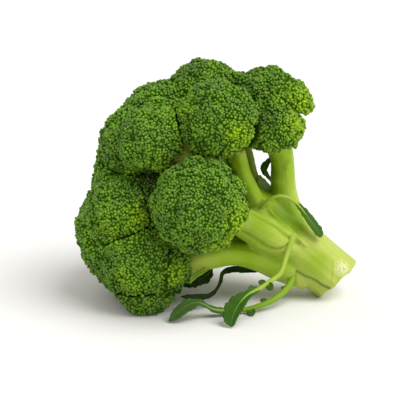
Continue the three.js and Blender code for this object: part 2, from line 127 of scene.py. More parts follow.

# %% [markdown]
# ## The plan of the head
# Each limb is a route through a few points, with its radius at even steps along it. A floret is
# given by its middle and radius, the limb it grows from and how far along that limb. These are
# the sizes of the real head, given as lists, and the solid model uses the same ones.

# %% Limbs and florets
LIMBS = {
    "trunk": (
        [(88, 0, 0), (75, 0, 10), (63, 0, 20), (50, 0, 31), (36, 0, 42), (14, 0, 58), (-14, 0, 71)],
        [16, 16, 16.2, 16.6, 16.4, 10, 6],
    ),
    "right": (
        [(60, 1, 24), (51, 2, 39), (43.5, 1, 53), (41, 0, 66), (40, -1, 84), (38, -2, 98)],
        [11, 10.8, 9.5, 7.7, 7, 7.1],
    ),
    "middle": (
        [(54, -12.5, 36), (40, -11.5, 48), (32, -9, 54.5), (25, -8.5, 60.5), (21, -11, 69),
         (16.5, -15, 80), (13, -19.5, 95)],
        [3, 4.4, 5.2, 5.3, 4.9, 4.5, 4.4],
    ),
    "crest": (
        [(44, 6, 40), (37, 6, 51), (31.5, 6, 60), (26.5, 7, 67), (23.5, 8, 75), (20, 12, 88),
         (12, 14, 104)],
        [4, 3, 2.4, 2.3, 2.4, 2.7, 3],
    ),
    "front": (
        [(50, 2, 30), (43, -8, 35), (30, -17, 43.5), (16, -28, 54), (5, -37, 61)],
        [9, 11, 10.4, 9, 8],
    ),
    "lower": (
        [(55, -3, 13.5), (40, -8, 20), (27, -13, 27), (11, -19, 32.5), (-3, -24, 31.5), (-17, -27, 28)],
        [9, 8.6, 7.6, 7.3, 6.6],
    ),
    "back": ([(56, 4, 24), (42, 11, 34), (27, 22, 46), (12, 33, 58)], [10, 10, 9.4, 8.4]),
    "back_upper": ([(50, 6, 34), (33, 14, 50), (16, 22, 68), (12, 28, 88)], [8, 7.2, 6.4, 6]),
    "back_lower": (
        [(54, 4, 14), (38, 12, 20), (20, 20, 26), (2, 25, 29), (-16, 28, 29)],
        [8.5, 8, 6.8, 6.2, 6],
    ),
}

# name: (middle, radius, limb, share of the limb, twig radius, facing, softness of its notches);
# None takes the rule.
FLORETS = {
    "front": ((-9, -46, 69), 28.2, "front", 0.8, 8, (-0.4, -0.85, 0.35), 0.8),
    "upper_front": ((1, -23, 112.2), 24.6, "middle", 0.8, 4.6, (-0.25, -0.5, 0.8), 2),
    "right": ((33.8, -10.5, 105), 19, "right", 0.8, 6.6, (-0.15, -0.34, 0.93), 2),
    "right_crown": ((31.3, 10, 119.6), 19.8, "right", 0.8, 5.4, None, 3.5),
    "right_tip": ((45.2, 0, 119.4), 13.9, "right", 0.85, 3.6, None, 2),
    "crest": ((-6.5, 14, 122.1), 21.6, "crest", 0.9, 3.4, None, 3.5),
    "crest_left": ((-32, 4, 106.4), 25.2, "trunk", 0.72, None, None, 3.5),
    "mid_left": ((-35.5, -23, 102), 20.6, "trunk", 0.7, None, (-0.55, -0.7, 0.45), 2.5),
    "brow": ((-45.5, -2, 93.3), 24.4, "trunk", 0.85, None, None, 2.5),
    "temple": ((-53.4, -2, 73), 19.8, "trunk", 0.85, None, None, 3.5),
    "cheek": ((-53.5, -20.5, 59), 22.6, "trunk", 0.8, None, (-0.75, -0.65, 0.1), 2),
    "inner_front": ((-31, -17, 64), 21.4, "trunk", 0.7, None, (-0.5, -0.85, 0.1), 1),
    "low_left": ((-58.4, -5, 43), 26, "trunk", 0.95, None, None, 3.5),
    "low_front": ((-41.5, -27, 31), 24.6, "lower", 0.85, 5.4, (-0.72, -0.68, -0.1), 3.5),
    "foot_front": ((-39.8, -29.5, 14.3), 16.6, "lower", 0.9, None, (-0.4, -0.35, -0.85), 3.5),
    "chin": ((-26.5, -34, 29.5), 13, "lower", 0.75, None, (-0.1, -0.8, -0.6), 3.5),
    "back": ((-10, 45.2, 71), 28.7, "back", 0.8, 7.4, None, 3.5),
    "back_upper": ((15, 29, 106), 26.7, "back_upper", 0.8, 5.6, None, 3.5),
    "back_left": ((-36, 28, 91), 25.5, "trunk", 0.75, None, None, 3.5),
    "back_cheek": ((-50, 27, 58), 27, "trunk", 0.85, None, None, 3.5),
    "low_back": ((-40, 28, 32), 24.5, "back_lower", 0.85, 5.4, None, 3.5),
    "foot_back": ((-34, 31, 16), 18.6, "back_lower", 0.85, None, (-0.3, 0.35, -0.88), 3.5),
    "keel": ((-51.5, -2, 28), 25.5, "trunk", 0.9, None, (-0.5, 0, -0.85), 3.5),
}
FORK = np.array([34, 0, 46])  # florets with no facing of their own look away from here
print(len(LIMBS), "limbs carry", len(FLORETS), "florets")

# %% [markdown]
# ## Routes
# A stem bends smoothly, so its route is a curve that passes through the given points. The
# curve is sampled at even steps, because the radii are given at even steps too.

# %% Smooth routes for limbs and twigs
def far_along(line):
    """How far each point of a line lies from its start, along the line."""
    steps = np.linalg.norm(np.diff(line, axis=0), axis=1)
    return np.concatenate([[0], np.cumsum(steps)])


def even_steps(dense, count):
    """Points at even steps along a line of close points."""
    far = far_along(dense)
    at = np.linspace(0, far[-1], count)
    return np.stack([np.interp(at, far, dense[:, k]) for k in range(3)], axis=1)


def smooth_route(route, count):
    """Points at even steps along a centripetal Catmull-Rom curve through route."""
    p = np.array(route, float)
    p = np.vstack([2 * p[0] - p[1], p, 2 * p[-1] - p[-2]])
    t = np.linspace(0, 1, 24, endpoint=False)[:, None]
    dense = []
    for a, b, c, d in zip(p, p[1:], p[2:], p[3:]):
        ab, bc, cd = (np.linalg.norm(v) ** 0.5 for v in (b - a, c - b, d - c))
        leave = bc * ((b - a) / ab - (c - a) / (ab + bc) + (c - b) / bc)
        arrive = bc * ((c - b) / bc - (d - b) / (bc + cd) + (d - c) / cd)
        dense.append(
            b * (2 * t**3 - 3 * t**2 + 1)
            + leave * (t**3 - 2 * t**2 + t)
            + c * (3 * t**2 - 2 * t**3)
            + arrive * (t**3 - t**2)
        )
    return even_steps(np.vstack(dense + [p[-2:-1]]), count)


trunk_length = far_along(smooth_route(LIMBS["trunk"][0], 50))[-1]
print("trunk is", round(float(trunk_length)), "mm long")

# %% [markdown]
# ## Twigs
# Each floret has its twig. It leaves its limb along the limb, bends, and meets the floret from
# below, so a Bezier curve between the two fits it. It is a little thicker at both ends.

# %% Routes and radii of the twigs
def unit(v):
    """A direction, or an array of them, at length 1."""
    v = np.asarray(v, float)
    return v / np.linalg.norm(v, axis=-1, keepdims=True)


def along(values, u):
    """The value of a list at u from 0 to 1, in straight lines between its entries."""
    return np.interp(u, np.linspace(0, 1, len(values)), values)


def facing(name):
    """The way a floret's dome looks out of the head."""
    middle, looks = FLORETS[name][0], FLORETS[name][5]
    return unit(looks if looks else np.array(middle) - FORK)


def twig(name, count):
    """The route and radii of the twig that carries a floret. It leaves its limb along the limb."""
    middle, size, limb, fork, radius, _, _ = FLORETS[name]
    route, radii = LIMBS[limb]
    line = smooth_route(route, 201)
    i = min(int(round(fork * 200)), 199)
    start, ahead, out = line[i], unit(line[i + 1] - line[i - 1]), facing(name)
    end = np.array(middle) - 0.3 * size * out
    span = np.linalg.norm(end - start)
    b, c = start + 0.35 * span * ahead, end - 0.4 * span * out
    t = np.linspace(0, 1, 60)[:, None]
    bezier = (1 - t) ** 3 * start + 3 * t * (1 - t) ** 2 * b + 3 * t**2 * (1 - t) * c + t**3 * end
    thin = radius or 0.26 * size
    thick = min(0.85 * along(radii, fork), 1.3 * thin)
    profile = [thick, 1.1 * thin, thin, thin, 1.4 * thin]
    return even_steps(bezier, count), along(profile, np.linspace(0, 1, count))


twig_lines = {name: twig(name, 16) for name in FLORETS}
print(len(twig_lines), "twigs")

# %% [markdown]
# ## Stems
# A stem is a curve with a thickness at each point. Blender turns such a curve into a round
# tube, and converting it gives a mesh. Several curves in one object become one mesh.

# %% Stems from curves
def stems(name, lines, roundness):
    """One mesh of closed round stems. Each line is its points and radii in millimetres."""
    curve = bpy.data.curves.new(name, "CURVE")
    curve.dimensions = "3D"
    curve.bevel_depth = MM
    curve.bevel_resolution = roundness
    curve.use_fill_caps = True
    for points, radii in lines:
        spline = curve.splines.new("POLY")
        spline.points.add(len(points) - 1)
        places = np.hstack([np.asarray(points) * MM, np.ones((len(points), 1))])
        spline.points.foreach_set("co", places.ravel())
        spline.points.foreach_set("radius", np.asarray(radii, float))
    piece = bpy.data.objects.new(name, curve)
    bpy.context.collection.objects.link(piece)
    only(piece)
    bpy.ops.object.convert(target="MESH")
    bpy.ops.object.mode_set(mode="EDIT")
    bpy.ops.mesh.select_all(action="SELECT")
    bpy.ops.mesh.remove_doubles(threshold=1e-6)
    bpy.ops.mesh.normals_make_consistent(inside=False)
    bpy.ops.object.mode_set(mode="OBJECT")
    return piece


limb_lines = {}
for limb, (route, radii) in LIMBS.items():
    limb_lines[limb] = (smooth_route(route, 48), along(radii, np.linspace(0, 1, 48)))
stalk = stems("stalk_fine", [*limb_lines.values(), *twig_lines.values()], 6)
print("stems:", len(stalk.data.vertices), "vertices")

# %% [markdown]
# ## The knife's cut
# A cook's knife took the head from the plant with one straight cut. Each tube that crosses the
# plane of the cut is cut there and closed again, before the tubes are melted into one body, so
# that the cut face gets as fine a skin as the rest.

# %% Cut across the trunk
CUT_THROUGH, CUT_FACES = (74.3, 0, 9.9), (0.69, -0.15, -0.71)


def bisect(piece, through, outwards):
    """Cuts off what lies outwards of a plane through a point in mm, and closes the cut."""
    only(piece)
    bpy.ops.object.mode_set(mode="EDIT")
    bpy.ops.mesh.select_all(action="SELECT")
    bpy.ops.mesh.bisect(
        plane_co=Vector(through) * MM,
        plane_no=outwards,
        use_fill=True,
        clear_outer=True,
        threshold=1e-6,
    )
    bpy.ops.object.mode_set(mode="OBJECT")


bisect(stalk, CUT_THROUGH, CUT_FACES)
print("stems after the cut:", len(stalk.data.polygons), "faces")

# %% [markdown]
# ## The stalk grows together
# On the plant the stems are one body with soft valleys where they part. A voxel remesh melts
# the tubes into one skin, and a few rounds of smoothing give the valleys their soft bottoms.

# %% Melt the stems into one body
VOXEL = 0.85  # mm between the points of the skin


def apply(piece, kind, settings):
    """Adds one modifier with these settings, and applies it."""
    modifier = piece.modifiers.new(kind.lower(), kind)
    for key, value in settings.items():
        setattr(modifier, key, value)
    only(piece)
    bpy.ops.object.modifier_apply(modifier=modifier.name)


apply(stalk, "REMESH", {"mode": "VOXEL", "voxel_size": VOXEL * MM})
apply(stalk, "SMOOTH", {"factor": 0.5, "iterations": 8})
print("stalk skin:", len(stalk.data.vertices), "vertices")

# %% [markdown]
# ## Where each point of the skin lies on its limb
# Ribs, fibres and colour all follow the limbs. So each point of the skin looks up the nearest
# limb, and keeps how far along it lies and which side of it faces. A twig counts on from the
# place where it leaves its limb, so nothing jumps there. Further on, the result is stored on the
# mesh as an attribute, which the material reads as its own coordinates.

# %% Limb coordinates of the skin
def limb_coordinates(points):
    """For each point: the limb's number, mm along it, the way round it, and its radius there."""
    lines = [*limb_lines.values(), *twig_lines.values()]
    limbs = list(LIMBS)
    numbers = list(range(len(limbs))) + [limbs.index(FLORETS[name][2]) for name in FLORETS]
    starts = [0] * len(limbs)
    for _, _, limb, fork, *_ in FLORETS.values():
        starts.append(fork * far_along(limb_lines[limb][0])[-1])
    centre = np.vstack([line for line, _ in lines])
    radius = np.concatenate([radii for _, radii in lines])
    ahead = np.vstack([unit(np.gradient(line, axis=0)) for line, _ in lines])
    far = np.concatenate([start + far_along(line) for start, (line, _) in zip(starts, lines)])
    number = np.concatenate([np.full(len(line), i) for i, (line, _) in zip(numbers, lines)])
    nearest = np.empty(len(points), int)
    for first in range(0, len(points), 4000):  # in blocks, to keep the arrays small
        block = points[first : first + 4000]
        gap = np.linalg.norm(block[:, None] - centre[None], axis=2) - radius
        nearest[first : first + 4000] = gap.argmin(axis=1)
    side = unit(np.cross(ahead, (0, 1, 0)))
    other = np.cross(ahead, side)
    out = points - centre[nearest]
    way = np.stack([(out * side[nearest]).sum(1), (out * other[nearest]).sum(1)], axis=1)
    mm_along = far[nearest] + (out * ahead[nearest]).sum(1)
    return number[nearest], mm_along, unit(way), radius[nearest]


skin = corners(stalk)
limb_number, limb_far, limb_way, limb_radius = limb_coordinates(skin)
print("points on the trunk:", int((limb_number == 0).sum()), "of", len(skin))

# %% [markdown]
# ## Ribs
# The skin swells in low ribs that run with the fibres. They are made by moving each point a
# little along its normal, by a sum of a few waves round the limb. They grow fainter on a thin
# limb. The cut face has none, only the shallow unevenness that a knife leaves.

# %% Ribs along the limbs
FULL_RIBS = 11  # mm, the radius of a limb from which its ribs have their full height
SHRUNK = 0.1  # mm, what the smoothing took off the skin


def normals(piece):
    """The directions in which a mesh's vertices face."""
    flat = np.empty(3 * len(piece.data.vertices))
    piece.data.vertices.foreach_get("normal", flat)
    return flat.reshape(-1, 3)


def on_cut(points, outs):
    """1 on the cut face, 0 on the skin, and between them over its rim."""
    near = np.clip(1 - np.abs((points - np.array(CUT_THROUGH)) @ unit(CUT_FACES)) / 1.2, 0, 1)
    return near * np.clip((outs @ unit(CUT_FACES) - 0.6) / 0.3, 0, 1)


angle = np.arctan2(limb_way[:, 1], limb_way[:, 0])
start_angle = 1.7 * limb_number
ribs = (  # three waves: their heights in mm, how many go round the limb, and their slow twist
    0.2 * np.cos(5 * angle + start_angle + 0.010 * limb_far)
    + 0.11 * np.cos(9 * angle - 2 * start_angle - 0.015 * limb_far)
    + 0.05 * np.cos(17 * angle + 3 * start_angle + 0.01 * limb_far)
)
ribs[limb_number == list(LIMBS).index("front")] *= 0.25  # this limb's skin is nearly smooth
bare = on_cut(skin, normals(stalk))
ragged = 0.5 * np.sin(1.1 * skin[:, 1]) + 0.4 * np.sin(0.7 * skin[:, 2] + 1)
ribs *= np.clip(limb_radius / FULL_RIBS, 0.25, 1)
rise = (SHRUNK + ribs) * (1 - bare) + ragged * bare
put_corners(stalk, skin + rise[:, None] * normals(stalk))
apply(stalk, "SMOOTH", {"factor": 0.5, "iterations": 3})
print("ribs rise", round(float(rise.max()), 2), "mm")

# %% [markdown]
# ## Creases, ridges and a crack
# Where a limb leaves the trunk its skin folds into a crease, and the flesh between two limbs is
# drawn into a hollow web. Near the cut, the stalk has begun to split. Each of these is a line
# with a half width and a depth in mm; a negative depth is a ridge. A line given as points hangs a
# little above or below the skin, so it is laid on the skin first, each point of it at the
# nearest place there. The faces near the narrow lines are divided, because a crease needs a few
# points across it.

# %% Routes of the creases
CREASES = {
    "foot of the middle limb": (
        [(14, -14, 59), (19, -14, 58.5), (25, -13.5, 59), (29, -12, 62)],
        1.3, 1.7,
    ),
    "under the front limb": (
        [(12, -38, 53), (16, -36, 50.5), (24, -30.5, 44), (30, -26, 39), (36, -23, 36.5),
         (40, -22, 36.5), (43.5, -21, 38.5), (45, -19, 42)],
        1.1, 1.5,
    ),
    "above the front limb": (
        [(20, -31, 62), (27, -27.5, 56), (35, -23, 49.5), (44, -18.5, 41), (48.5, -15.5, 37.5)],
        1.3, 0.9,
    ),
    "ridge below the saddle": (
        [(29.5, -12, 61.5), (33.5, -13.5, 55.5), (39, -15.5, 50.5), (46, -16, 44), (53.5, -15.5, 36.5)],
        1.0, -0.9,
    ),
    "web between the limbs": ([(36, -11, 57), (42, -13, 51), (48, -13.5, 44)], 2.8, 1.3),
    "split near the cut": (
        [(48.5, -13.5, 19.5), (53.5, -13, 17), (57, -14, 16), (61.5, -14.5, 13.5), (64, -14.5, 11.5),
         (68.5, -15, 9.5)],
        0.45, 0.9,
    ),
    "edge of the leaf scar": ([(70.5, -12, 26), (71, -14.5, 20.5), (70.5, -16.5, 13.5)], 0.7, -0.4),
    "left edge of the split": ([(48.5, -13.5, 19.5), (47.5, -13, 15.5), (48.5, -12, 11)], 0.6, 0.6),
}
print(len(CREASES), "creases and ridges")

# %% [markdown]
# ## Pressing the lines into the skin
# The press at a point is a soft bell of its distance to the line. Each point of the skin then
# moves in by the sum of all presses, along its own normal.

# %% Lay the lines on the skin, and press them in
DIVIDED = 2.2  # mm on either side of a narrow line where the faces are divided


def laid_on(piece, route):
    """A smooth line through route, moved to the nearest points of a piece's skin."""
    near = [piece.closest_point_on_mesh(Vector(point) * MM)[1] for point in smooth_route(route, 60)]
    return np.array(near) / MM


def gap_to_line(points, line):
    """Each point's distance in mm to a line of points. It is only worked out near the line."""
    gap = np.full(len(points), 99.0)
    near = np.linalg.norm(points - line.mean(axis=0), axis=1) < 60
    gap[near] = np.linalg.norm(points[near, None] - line[None], axis=2).min(axis=1)
    return gap


def bell(gap, width):
    """1 where the gap is 0, and softly down to 0 within about two widths."""
    return np.exp(-((gap / width) ** 2))


bpy.context.view_layer.update()
lines = {name: laid_on(stalk, route) for name, (route, _, _) in CREASES.items()}
narrow = [lines[name] for name, (_, half_width, _) in CREASES.items() if half_width < 1.2]
middles = np.array([polygon.center for polygon in stalk.data.polygons]) / MM
chosen = np.min([gap_to_line(middles, line) for line in narrow], axis=0) < DIVIDED
only(stalk)
bpy.ops.object.mode_set(mode="EDIT")
bpy.ops.mesh.select_mode(type="FACE")
bpy.ops.mesh.select_all(action="DESELECT")
bpy.ops.object.mode_set(mode="OBJECT")
stalk.data.polygons.foreach_set("select", chosen)
bpy.ops.object.mode_set(mode="EDIT")
bpy.ops.mesh.subdivide(number_cuts=1, smoothness=0)
bpy.ops.mesh.quads_convert_to_tris()
bpy.ops.object.mode_set(mode="OBJECT")
skin = corners(stalk)
press = np.zeros(len(skin))
for name, (_, half_width, depth) in CREASES.items():
    press += depth * bell(gap_to_line(skin, lines[name]), half_width)
put_corners(stalk, skin - press[:, None] * normals(stalk))
print("creases press up to", round(float(press.max()), 2), "mm in")

# %% [markdown]
# ## The resting side
# The stalk rests on its lowest side, which its own weight keeps flat.

# %% Flatten the resting side
bisect(stalk, (0, 0, 0), (0, 0, -1))
print("stalk triangles:", triangle_count([stalk]))

# %% [markdown]
# ## Tones of the stalk
# The stalk is pale where the head's own leaves kept the sun off, and deeper green where light
# reached it. Deep between the limbs and on the unlit sides of limbs it gets painted shade, a small
# oval spot on the right limb is a real darker green, and the scar of a fallen leaf is corky and
# pale. These places are kept as lists of middles, radii and amounts, like dabs of a soft brush.

# %% Greener, painted-shade and corky places
GREENER = [  # middle and radius in mm, and amount
    ((38, -6, 88), 26, 0.8),
    ((34, -8, 66), 12, 0.9),
    ((16, -16, 78), 24, 0.9),
    ((40, -11, 54), 11, 1.0),
    ((49, -11, 47), 8, 0.9),
    ((22, -28, 48), 20, 0.7),
    ((10, -20, 32), 26, 0.85),
    ((34, -14, 24), 15, 0.8),
    ((60, -15, 25), 9, 0.6),
    ((20, 28, 52), 34, 0.6),
    ((10, 24, 28), 30, 0.7),
]
# painted shade deep between the limbs, on the right limb's unlit left side and near the front floret
PAINTED_SHADE_AND_SPOT = [  # the same, for the places in deep shade
    ((34.5, -4, 68), 6.5, 1.0),
    ((34, -4, 78), 6.5, 1.0),
    ((33, -5, 88), 6.5, 1.0),
    # these three small dabs are a real darker green oval spot on the right limb
    ((42.5, -7.2, 85.5), 2.2, 0.6),
    ((40.8, -7.4, 82), 2.4, 0.6),
    ((39.5, -7.5, 79.5), 1.8, 0.5),
    ((41, -11, 54), 9, 0.75),
    ((48, -11, 48), 7, 0.55),
    ((18, -29, 55), 14, 0.5),
]
SCARS = [((76, -12, 21), 4.6, 0.75), ((46, 12, 30), 5, 0.8)]


def dabs(points, places):
    """The strongest of these soft dabs at each point."""
    value = np.zeros(len(points))
    for middle, radius, amount in places:
        gap = np.linalg.norm(points - np.array(middle), axis=1) / radius
        value = np.maximum(value, amount * np.clip(1.4 - gap, 0, 1))
    return value


print("dabs on the stalk:", len(GREENER + PAINTED_SHADE_AND_SPOT + SCARS))

# %% [markdown]
# ## Fibres and tones on the mesh
# A material can read what is stored on the mesh. The fibres need the limb coordinates, with the
# pattern of each limb 40 mm from the next one's, so that no two are alike. Three tones share one
# colour attribute: how green a place is, how corky or bare, and how dark, which is painted shade
# in the creases and unlit places, the real oval spot, and the split. In the split the dark one
# passes 1, and the material turns brown there.

# %% Store fibres and tones on the skin
def store_tone(piece, *channels):
    """Keeps up to three values for each vertex as the colour attribute tone."""
    values = np.ones((len(piece.data.vertices), 4))
    for k, channel in enumerate(channels):
        values[:, k] = channel
    attribute = piece.data.color_attributes.new("tone", "FLOAT_COLOR", "POINT")
    attribute.data.foreach_set("color", values.ravel())


skin = corners(stalk)
limb_number, limb_far, limb_way, limb_radius = limb_coordinates(skin)
across = limb_way * limb_radius[:, None] + 40 * limb_number[:, None]
grain = stalk.data.attributes.new("grain", "FLOAT_VECTOR", "POINT")
grain.data.foreach_set("vector", (np.column_stack([across, limb_far]) * MM).ravel())
# painted shade: the unlit places and the narrow creases are darkened; the oval spot is real
dark = dabs(skin, PAINTED_SHADE_AND_SPOT)
for name, (_, half_width, depth) in CREASES.items():
    if depth > 0 and half_width < 1.4:  # the ridges and the web stay pale
        dark = np.maximum(dark, bell(gap_to_line(skin, lines[name]), 1.1 * half_width))
split = bell(gap_to_line(skin, lines["split near the cut"]), 0.8)
browned = 0.3 + 0.7 * np.clip((skin[:, 0] - 58) / 6, 0, 1)  # most of all towards the cut
dark = np.maximum(dark, split * (1 + browned))
bare = np.maximum(on_cut(skin, normals(stalk)), dabs(skin, SCARS))
store_tone(stalk, dabs(skin, GREENER), bare, dark)
shade_smooth(stalk)
print("greenest point", round(float(dabs(skin, GREENER).max()), 2))

# %% [markdown]
# ## Stalk: a smooth fleshy stem
# The skin of the stalk is smooth, pale yellow-green and slightly waxy, with long fine fibres
# showing through. It is moist flesh, so light goes a little way in. Fibres of a stem this thick
# lie about half a millimetre apart, and show as streaks along it.

# %% Stalk material: tones, fibres and streaks
stem_skin = new_material("fleshy_stem")
grain_read = add_node(stem_skin, "ShaderNodeAttribute", {"attribute_name": "grain"})
tone_read = add_node(stem_skin, "ShaderNodeVertexColor", {"layer_name": "tone"})
tones = add_node(stem_skin, "ShaderNodeSeparateColor", links={"Color": tone_read.outputs["Color"]})
greener, bared, shade_spot_and_split = (tones.outputs[k] for k in ("Red", "Green", "Blue"))
stretched = add_node(
    stem_skin, "ShaderNodeMapping", {"Scale": (1, 1, 0.05)}, {"Vector": grain_read.outputs["Vector"]}
)
fibres = add_node(
    stem_skin,
    "ShaderNodeTexNoise",
    {"Scale": 620.0, "Detail": 3.0, "Roughness": 0.6},
    {"Vector": stretched.outputs["Vector"]},
)
streaks = add_node(
    stem_skin,
    "ShaderNodeTexNoise",
    {"Scale": 150.0, "Detail": 3.0},
    {"Vector": stretched.outputs["Vector"]},
)
print("fibres and streaks follow the grain")

# %% [markdown]
# ### Green that drifts
# A patch of skin is a little greener or paler than the next one, about a centimetre away, and
# so is each streak. Both drifts are added to the green that the mesh keeps. The fibres then make
# the colour a few hundredths lighter or darker.

# %% Stalk material: the green skin
place = add_node(stem_skin, "ShaderNodeTexCoord")
cloudy = add_node(
    stem_skin, "ShaderNodeTexNoise", {"Scale": 75.0, "Detail": 3.0}, {"Vector": place.outputs["Object"]}
)
clouds = add_node(
    stem_skin,
    "ShaderNodeMapRange",
    {"From Min": 0.35, "From Max": 0.65, "To Min": -0.12, "To Max": 0.14},
    {"Value": cloudy.outputs["Fac"]},
)
streak_range = add_node(
    stem_skin,
    "ShaderNodeMapRange",
    {"From Min": 0.35, "From Max": 0.7, "To Min": -0.04, "To Max": 0.07},
    {"Value": streaks.outputs["Fac"]},
)
drift = add_node(
    stem_skin, "ShaderNodeMath", {"operation": "ADD"}, {0: clouds.outputs[0], 1: streak_range.outputs[0]}
)
how_green = add_node(
    stem_skin,
    "ShaderNodeMath",
    {"operation": "ADD", "use_clamp": True},
    {0: drift.outputs[0], 1: greener},
)
skin_green = add_node(
    stem_skin,
    "ShaderNodeMix",
    {"data_type": "RGBA", 6: linear(0xAEBC54), 7: linear(0x86AA08)},
    {0: how_green.outputs[0]},
)
fibre_range = add_node(
    stem_skin,
    "ShaderNodeMapRange",
    {"From Min": 0.3, "From Max": 0.7, "To Min": 0.92, "To Max": 1.06},
    {"Value": fibres.outputs["Fac"]},
)
fibrous = add_node(
    stem_skin,
    "ShaderNodeVectorMath",
    {"operation": "SCALE"},
    {0: skin_green.outputs[2], "Scale": fibre_range.outputs["Result"]},
)
print("green skin:", len(stem_skin.node_tree.nodes), "nodes so far")

# %% [markdown]
# ### Cork, painted shade and the split
# Bare places show speckled cork. Creases and unlit places get painted shade, a deeper green, and
# where the dark tone passes 1, in the split, the flesh has dried to brown.

# %% Stalk material: cork, painted shade and brown
corky = add_node(
    stem_skin, "ShaderNodeTexNoise", {"Scale": 900.0, "Detail": 2.0}, {"Vector": place.outputs["Object"]}
)
speckles = add_node(
    stem_skin, "ShaderNodeMapRange", {"From Min": 0.3, "From Max": 0.5}, {"Value": corky.outputs["Fac"]}
)
cork = add_node(
    stem_skin,
    "ShaderNodeMix",
    {"data_type": "RGBA", 6: linear(0xA88A48), 7: linear(0xD9DFAC)},
    {0: speckles.outputs["Result"]},
)
bared_skin = add_node(
    stem_skin,
    "ShaderNodeMix",
    {"data_type": "RGBA"},
    {0: bared, 6: fibrous.outputs[0], 7: cork.outputs[2]},
)
# painted shade: creases and unlit places turn deeper green, and so does the real oval spot
darkening_range = add_node(
    stem_skin, "ShaderNodeMapRange", {"To Min": 0.0, "To Max": 0.75}, {"Value": shade_spot_and_split}
)
with_painted_shade = add_node(
    stem_skin,
    "ShaderNodeMix",
    {"data_type": "RGBA", 7: linear(0x597A04)},
    {0: darkening_range.outputs["Result"], 6: bared_skin.outputs[2]},
)
brown_range = add_node(
    stem_skin,
    "ShaderNodeMapRange",
    {"From Min": 1.0, "From Max": 2.0, "To Max": 0.9},
    {"Value": shade_spot_and_split},
)
with_brown = add_node(
    stem_skin,
    "ShaderNodeMix",
    {"data_type": "RGBA", 7: linear(0x6B4B16)},
    {0: brown_range.outputs["Result"], 6: with_painted_shade.outputs[2]},
)
print("cork, creases and brown lie over the green")

# %% [markdown]
# ### The gloss of the skin
# Thin wax gives a weak soft gloss, the fibres give a very low relief, and the moist flesh lets
# light go a millimetre or two in.

# %% Stalk material: gloss
fibre_bump = add_node(
    stem_skin,
    "ShaderNodeBump",
    {"Strength": 0.3, "Distance": 0.0003},
    {"Height": fibres.outputs["Fac"]},
)
skin_shader = add_node(
    stem_skin,
    "ShaderNodeBsdfPrincipled",
    {
        "Roughness": 0.42,
        "IOR": 1.4,
        "Specular IOR Level": 0.25,
        "Subsurface Weight": 0.2,
        "Subsurface Radius": (0.6, 1.0, 0.2),
        "Subsurface Scale": 0.0025,
    },
    {"Base Color": with_brown.outputs[2], "Normal": fibre_bump.outputs["Normal"]},
)
add_node(stem_skin, "ShaderNodeOutputMaterial", links={"Surface": skin_shader.outputs["BSDF"]})
print("stalk material:", len(stem_skin.node_tree.nodes), "nodes")

# %% [markdown]
# ## Buds: waxy young flower buds
# A bud is covered by folded sepals with a thin bloom of wax. The tips get a painted pale
# highlight for the sheen of the wax, and the necks painted shade, deep green. The colour comes
# from three values that each bud keeps: how yellow it is, the height on the bud, and how light it
# is, which differs at random and also carries painted shade and painted light.

# %% Bud material
bud_skin = new_material("waxy_bud")
tone_read = add_node(bud_skin, "ShaderNodeVertexColor", {"layer_name": "tone"})
tones = add_node(bud_skin, "ShaderNodeSeparateColor", links={"Color": tone_read.outputs["Color"]})
yellow, height, shade = (tones.outputs[k] for k in ("Red", "Green", "Blue"))
place = add_node(bud_skin, "ShaderNodeTexCoord")
broad = add_node(
    bud_skin, "ShaderNodeTexNoise", {"Scale": 60.0, "Detail": 2.0}, {"Vector": place.outputs["Object"]}
)
broad_range = add_node(
    bud_skin,
    "ShaderNodeMapRange",
    {"From Min": 0.35, "From Max": 0.65},
    {"Value": broad.outputs["Fac"]},
)
green = add_node(
    bud_skin,
    "ShaderNodeMix",
    {"data_type": "RGBA", 6: linear(0x3B6720), 7: linear(0x558814)},
    {0: broad_range.outputs["Result"]},
)
yellowed = add_node(
    bud_skin,
    "ShaderNodeMix",
    {"data_type": "RGBA", 7: linear(0x84AC08)},
    {0: yellow, 6: green.outputs[2]},
)
shade_range = add_node(
    bud_skin, "ShaderNodeMapRange", {"clamp": False, "To Min": 0.62, "To Max": 1.15}, {"Value": shade}
)
shaded = add_node(
    bud_skin,
    "ShaderNodeVectorMath",
    {"operation": "SCALE"},
    {0: yellowed.outputs[2], "Scale": shade_range.outputs["Result"]},
)
# painted shade at the necks between the buds, less of it in yellow patches
neck_tone = add_node(
    bud_skin, "ShaderNodeMath", {"operation": "MULTIPLY_ADD", 1: 0.3, 2: 0.36}, {0: yellow}
)
neck = add_node(
    bud_skin,
    "ShaderNodeMapRange",
    {"From Min": 0.3, "From Max": 0.85, "To Max": 1.02},
    {"Value": height, "To Min": neck_tone.outputs["Value"]},
)
deep = add_node(
    bud_skin,
    "ShaderNodeVectorMath",
    {"operation": "SCALE"},
    {0: shaded.outputs[0], "Scale": neck.outputs["Result"]},
)
# painted highlight: a pale tip on each bud
tip = add_node(
    bud_skin,
    "ShaderNodeMapRange",
    {"From Min": 0.86, "From Max": 1.0, "To Min": 0.0, "To Max": 0.28},
    {"Value": height},
)
with_painted_highlight = add_node(
    bud_skin,
    "ShaderNodeMix",
    {"data_type": "RGBA", 7: linear(0xB9D277)},
    {0: tip.outputs["Result"], 6: deep.outputs[0]},
)
skin_shader = add_node(
    bud_skin,
    "ShaderNodeBsdfPrincipled",
    {"Roughness": 0.4, "IOR": 1.4, "Specular IOR Level": 0.22},
    {"Base Color": with_painted_highlight.outputs[2]},
)
add_node(bud_skin, "ShaderNodeOutputMaterial", links={"Surface": skin_shader.outputs["BSDF"]})
print("bud material:", len(bud_skin.node_tree.nodes), "nodes")
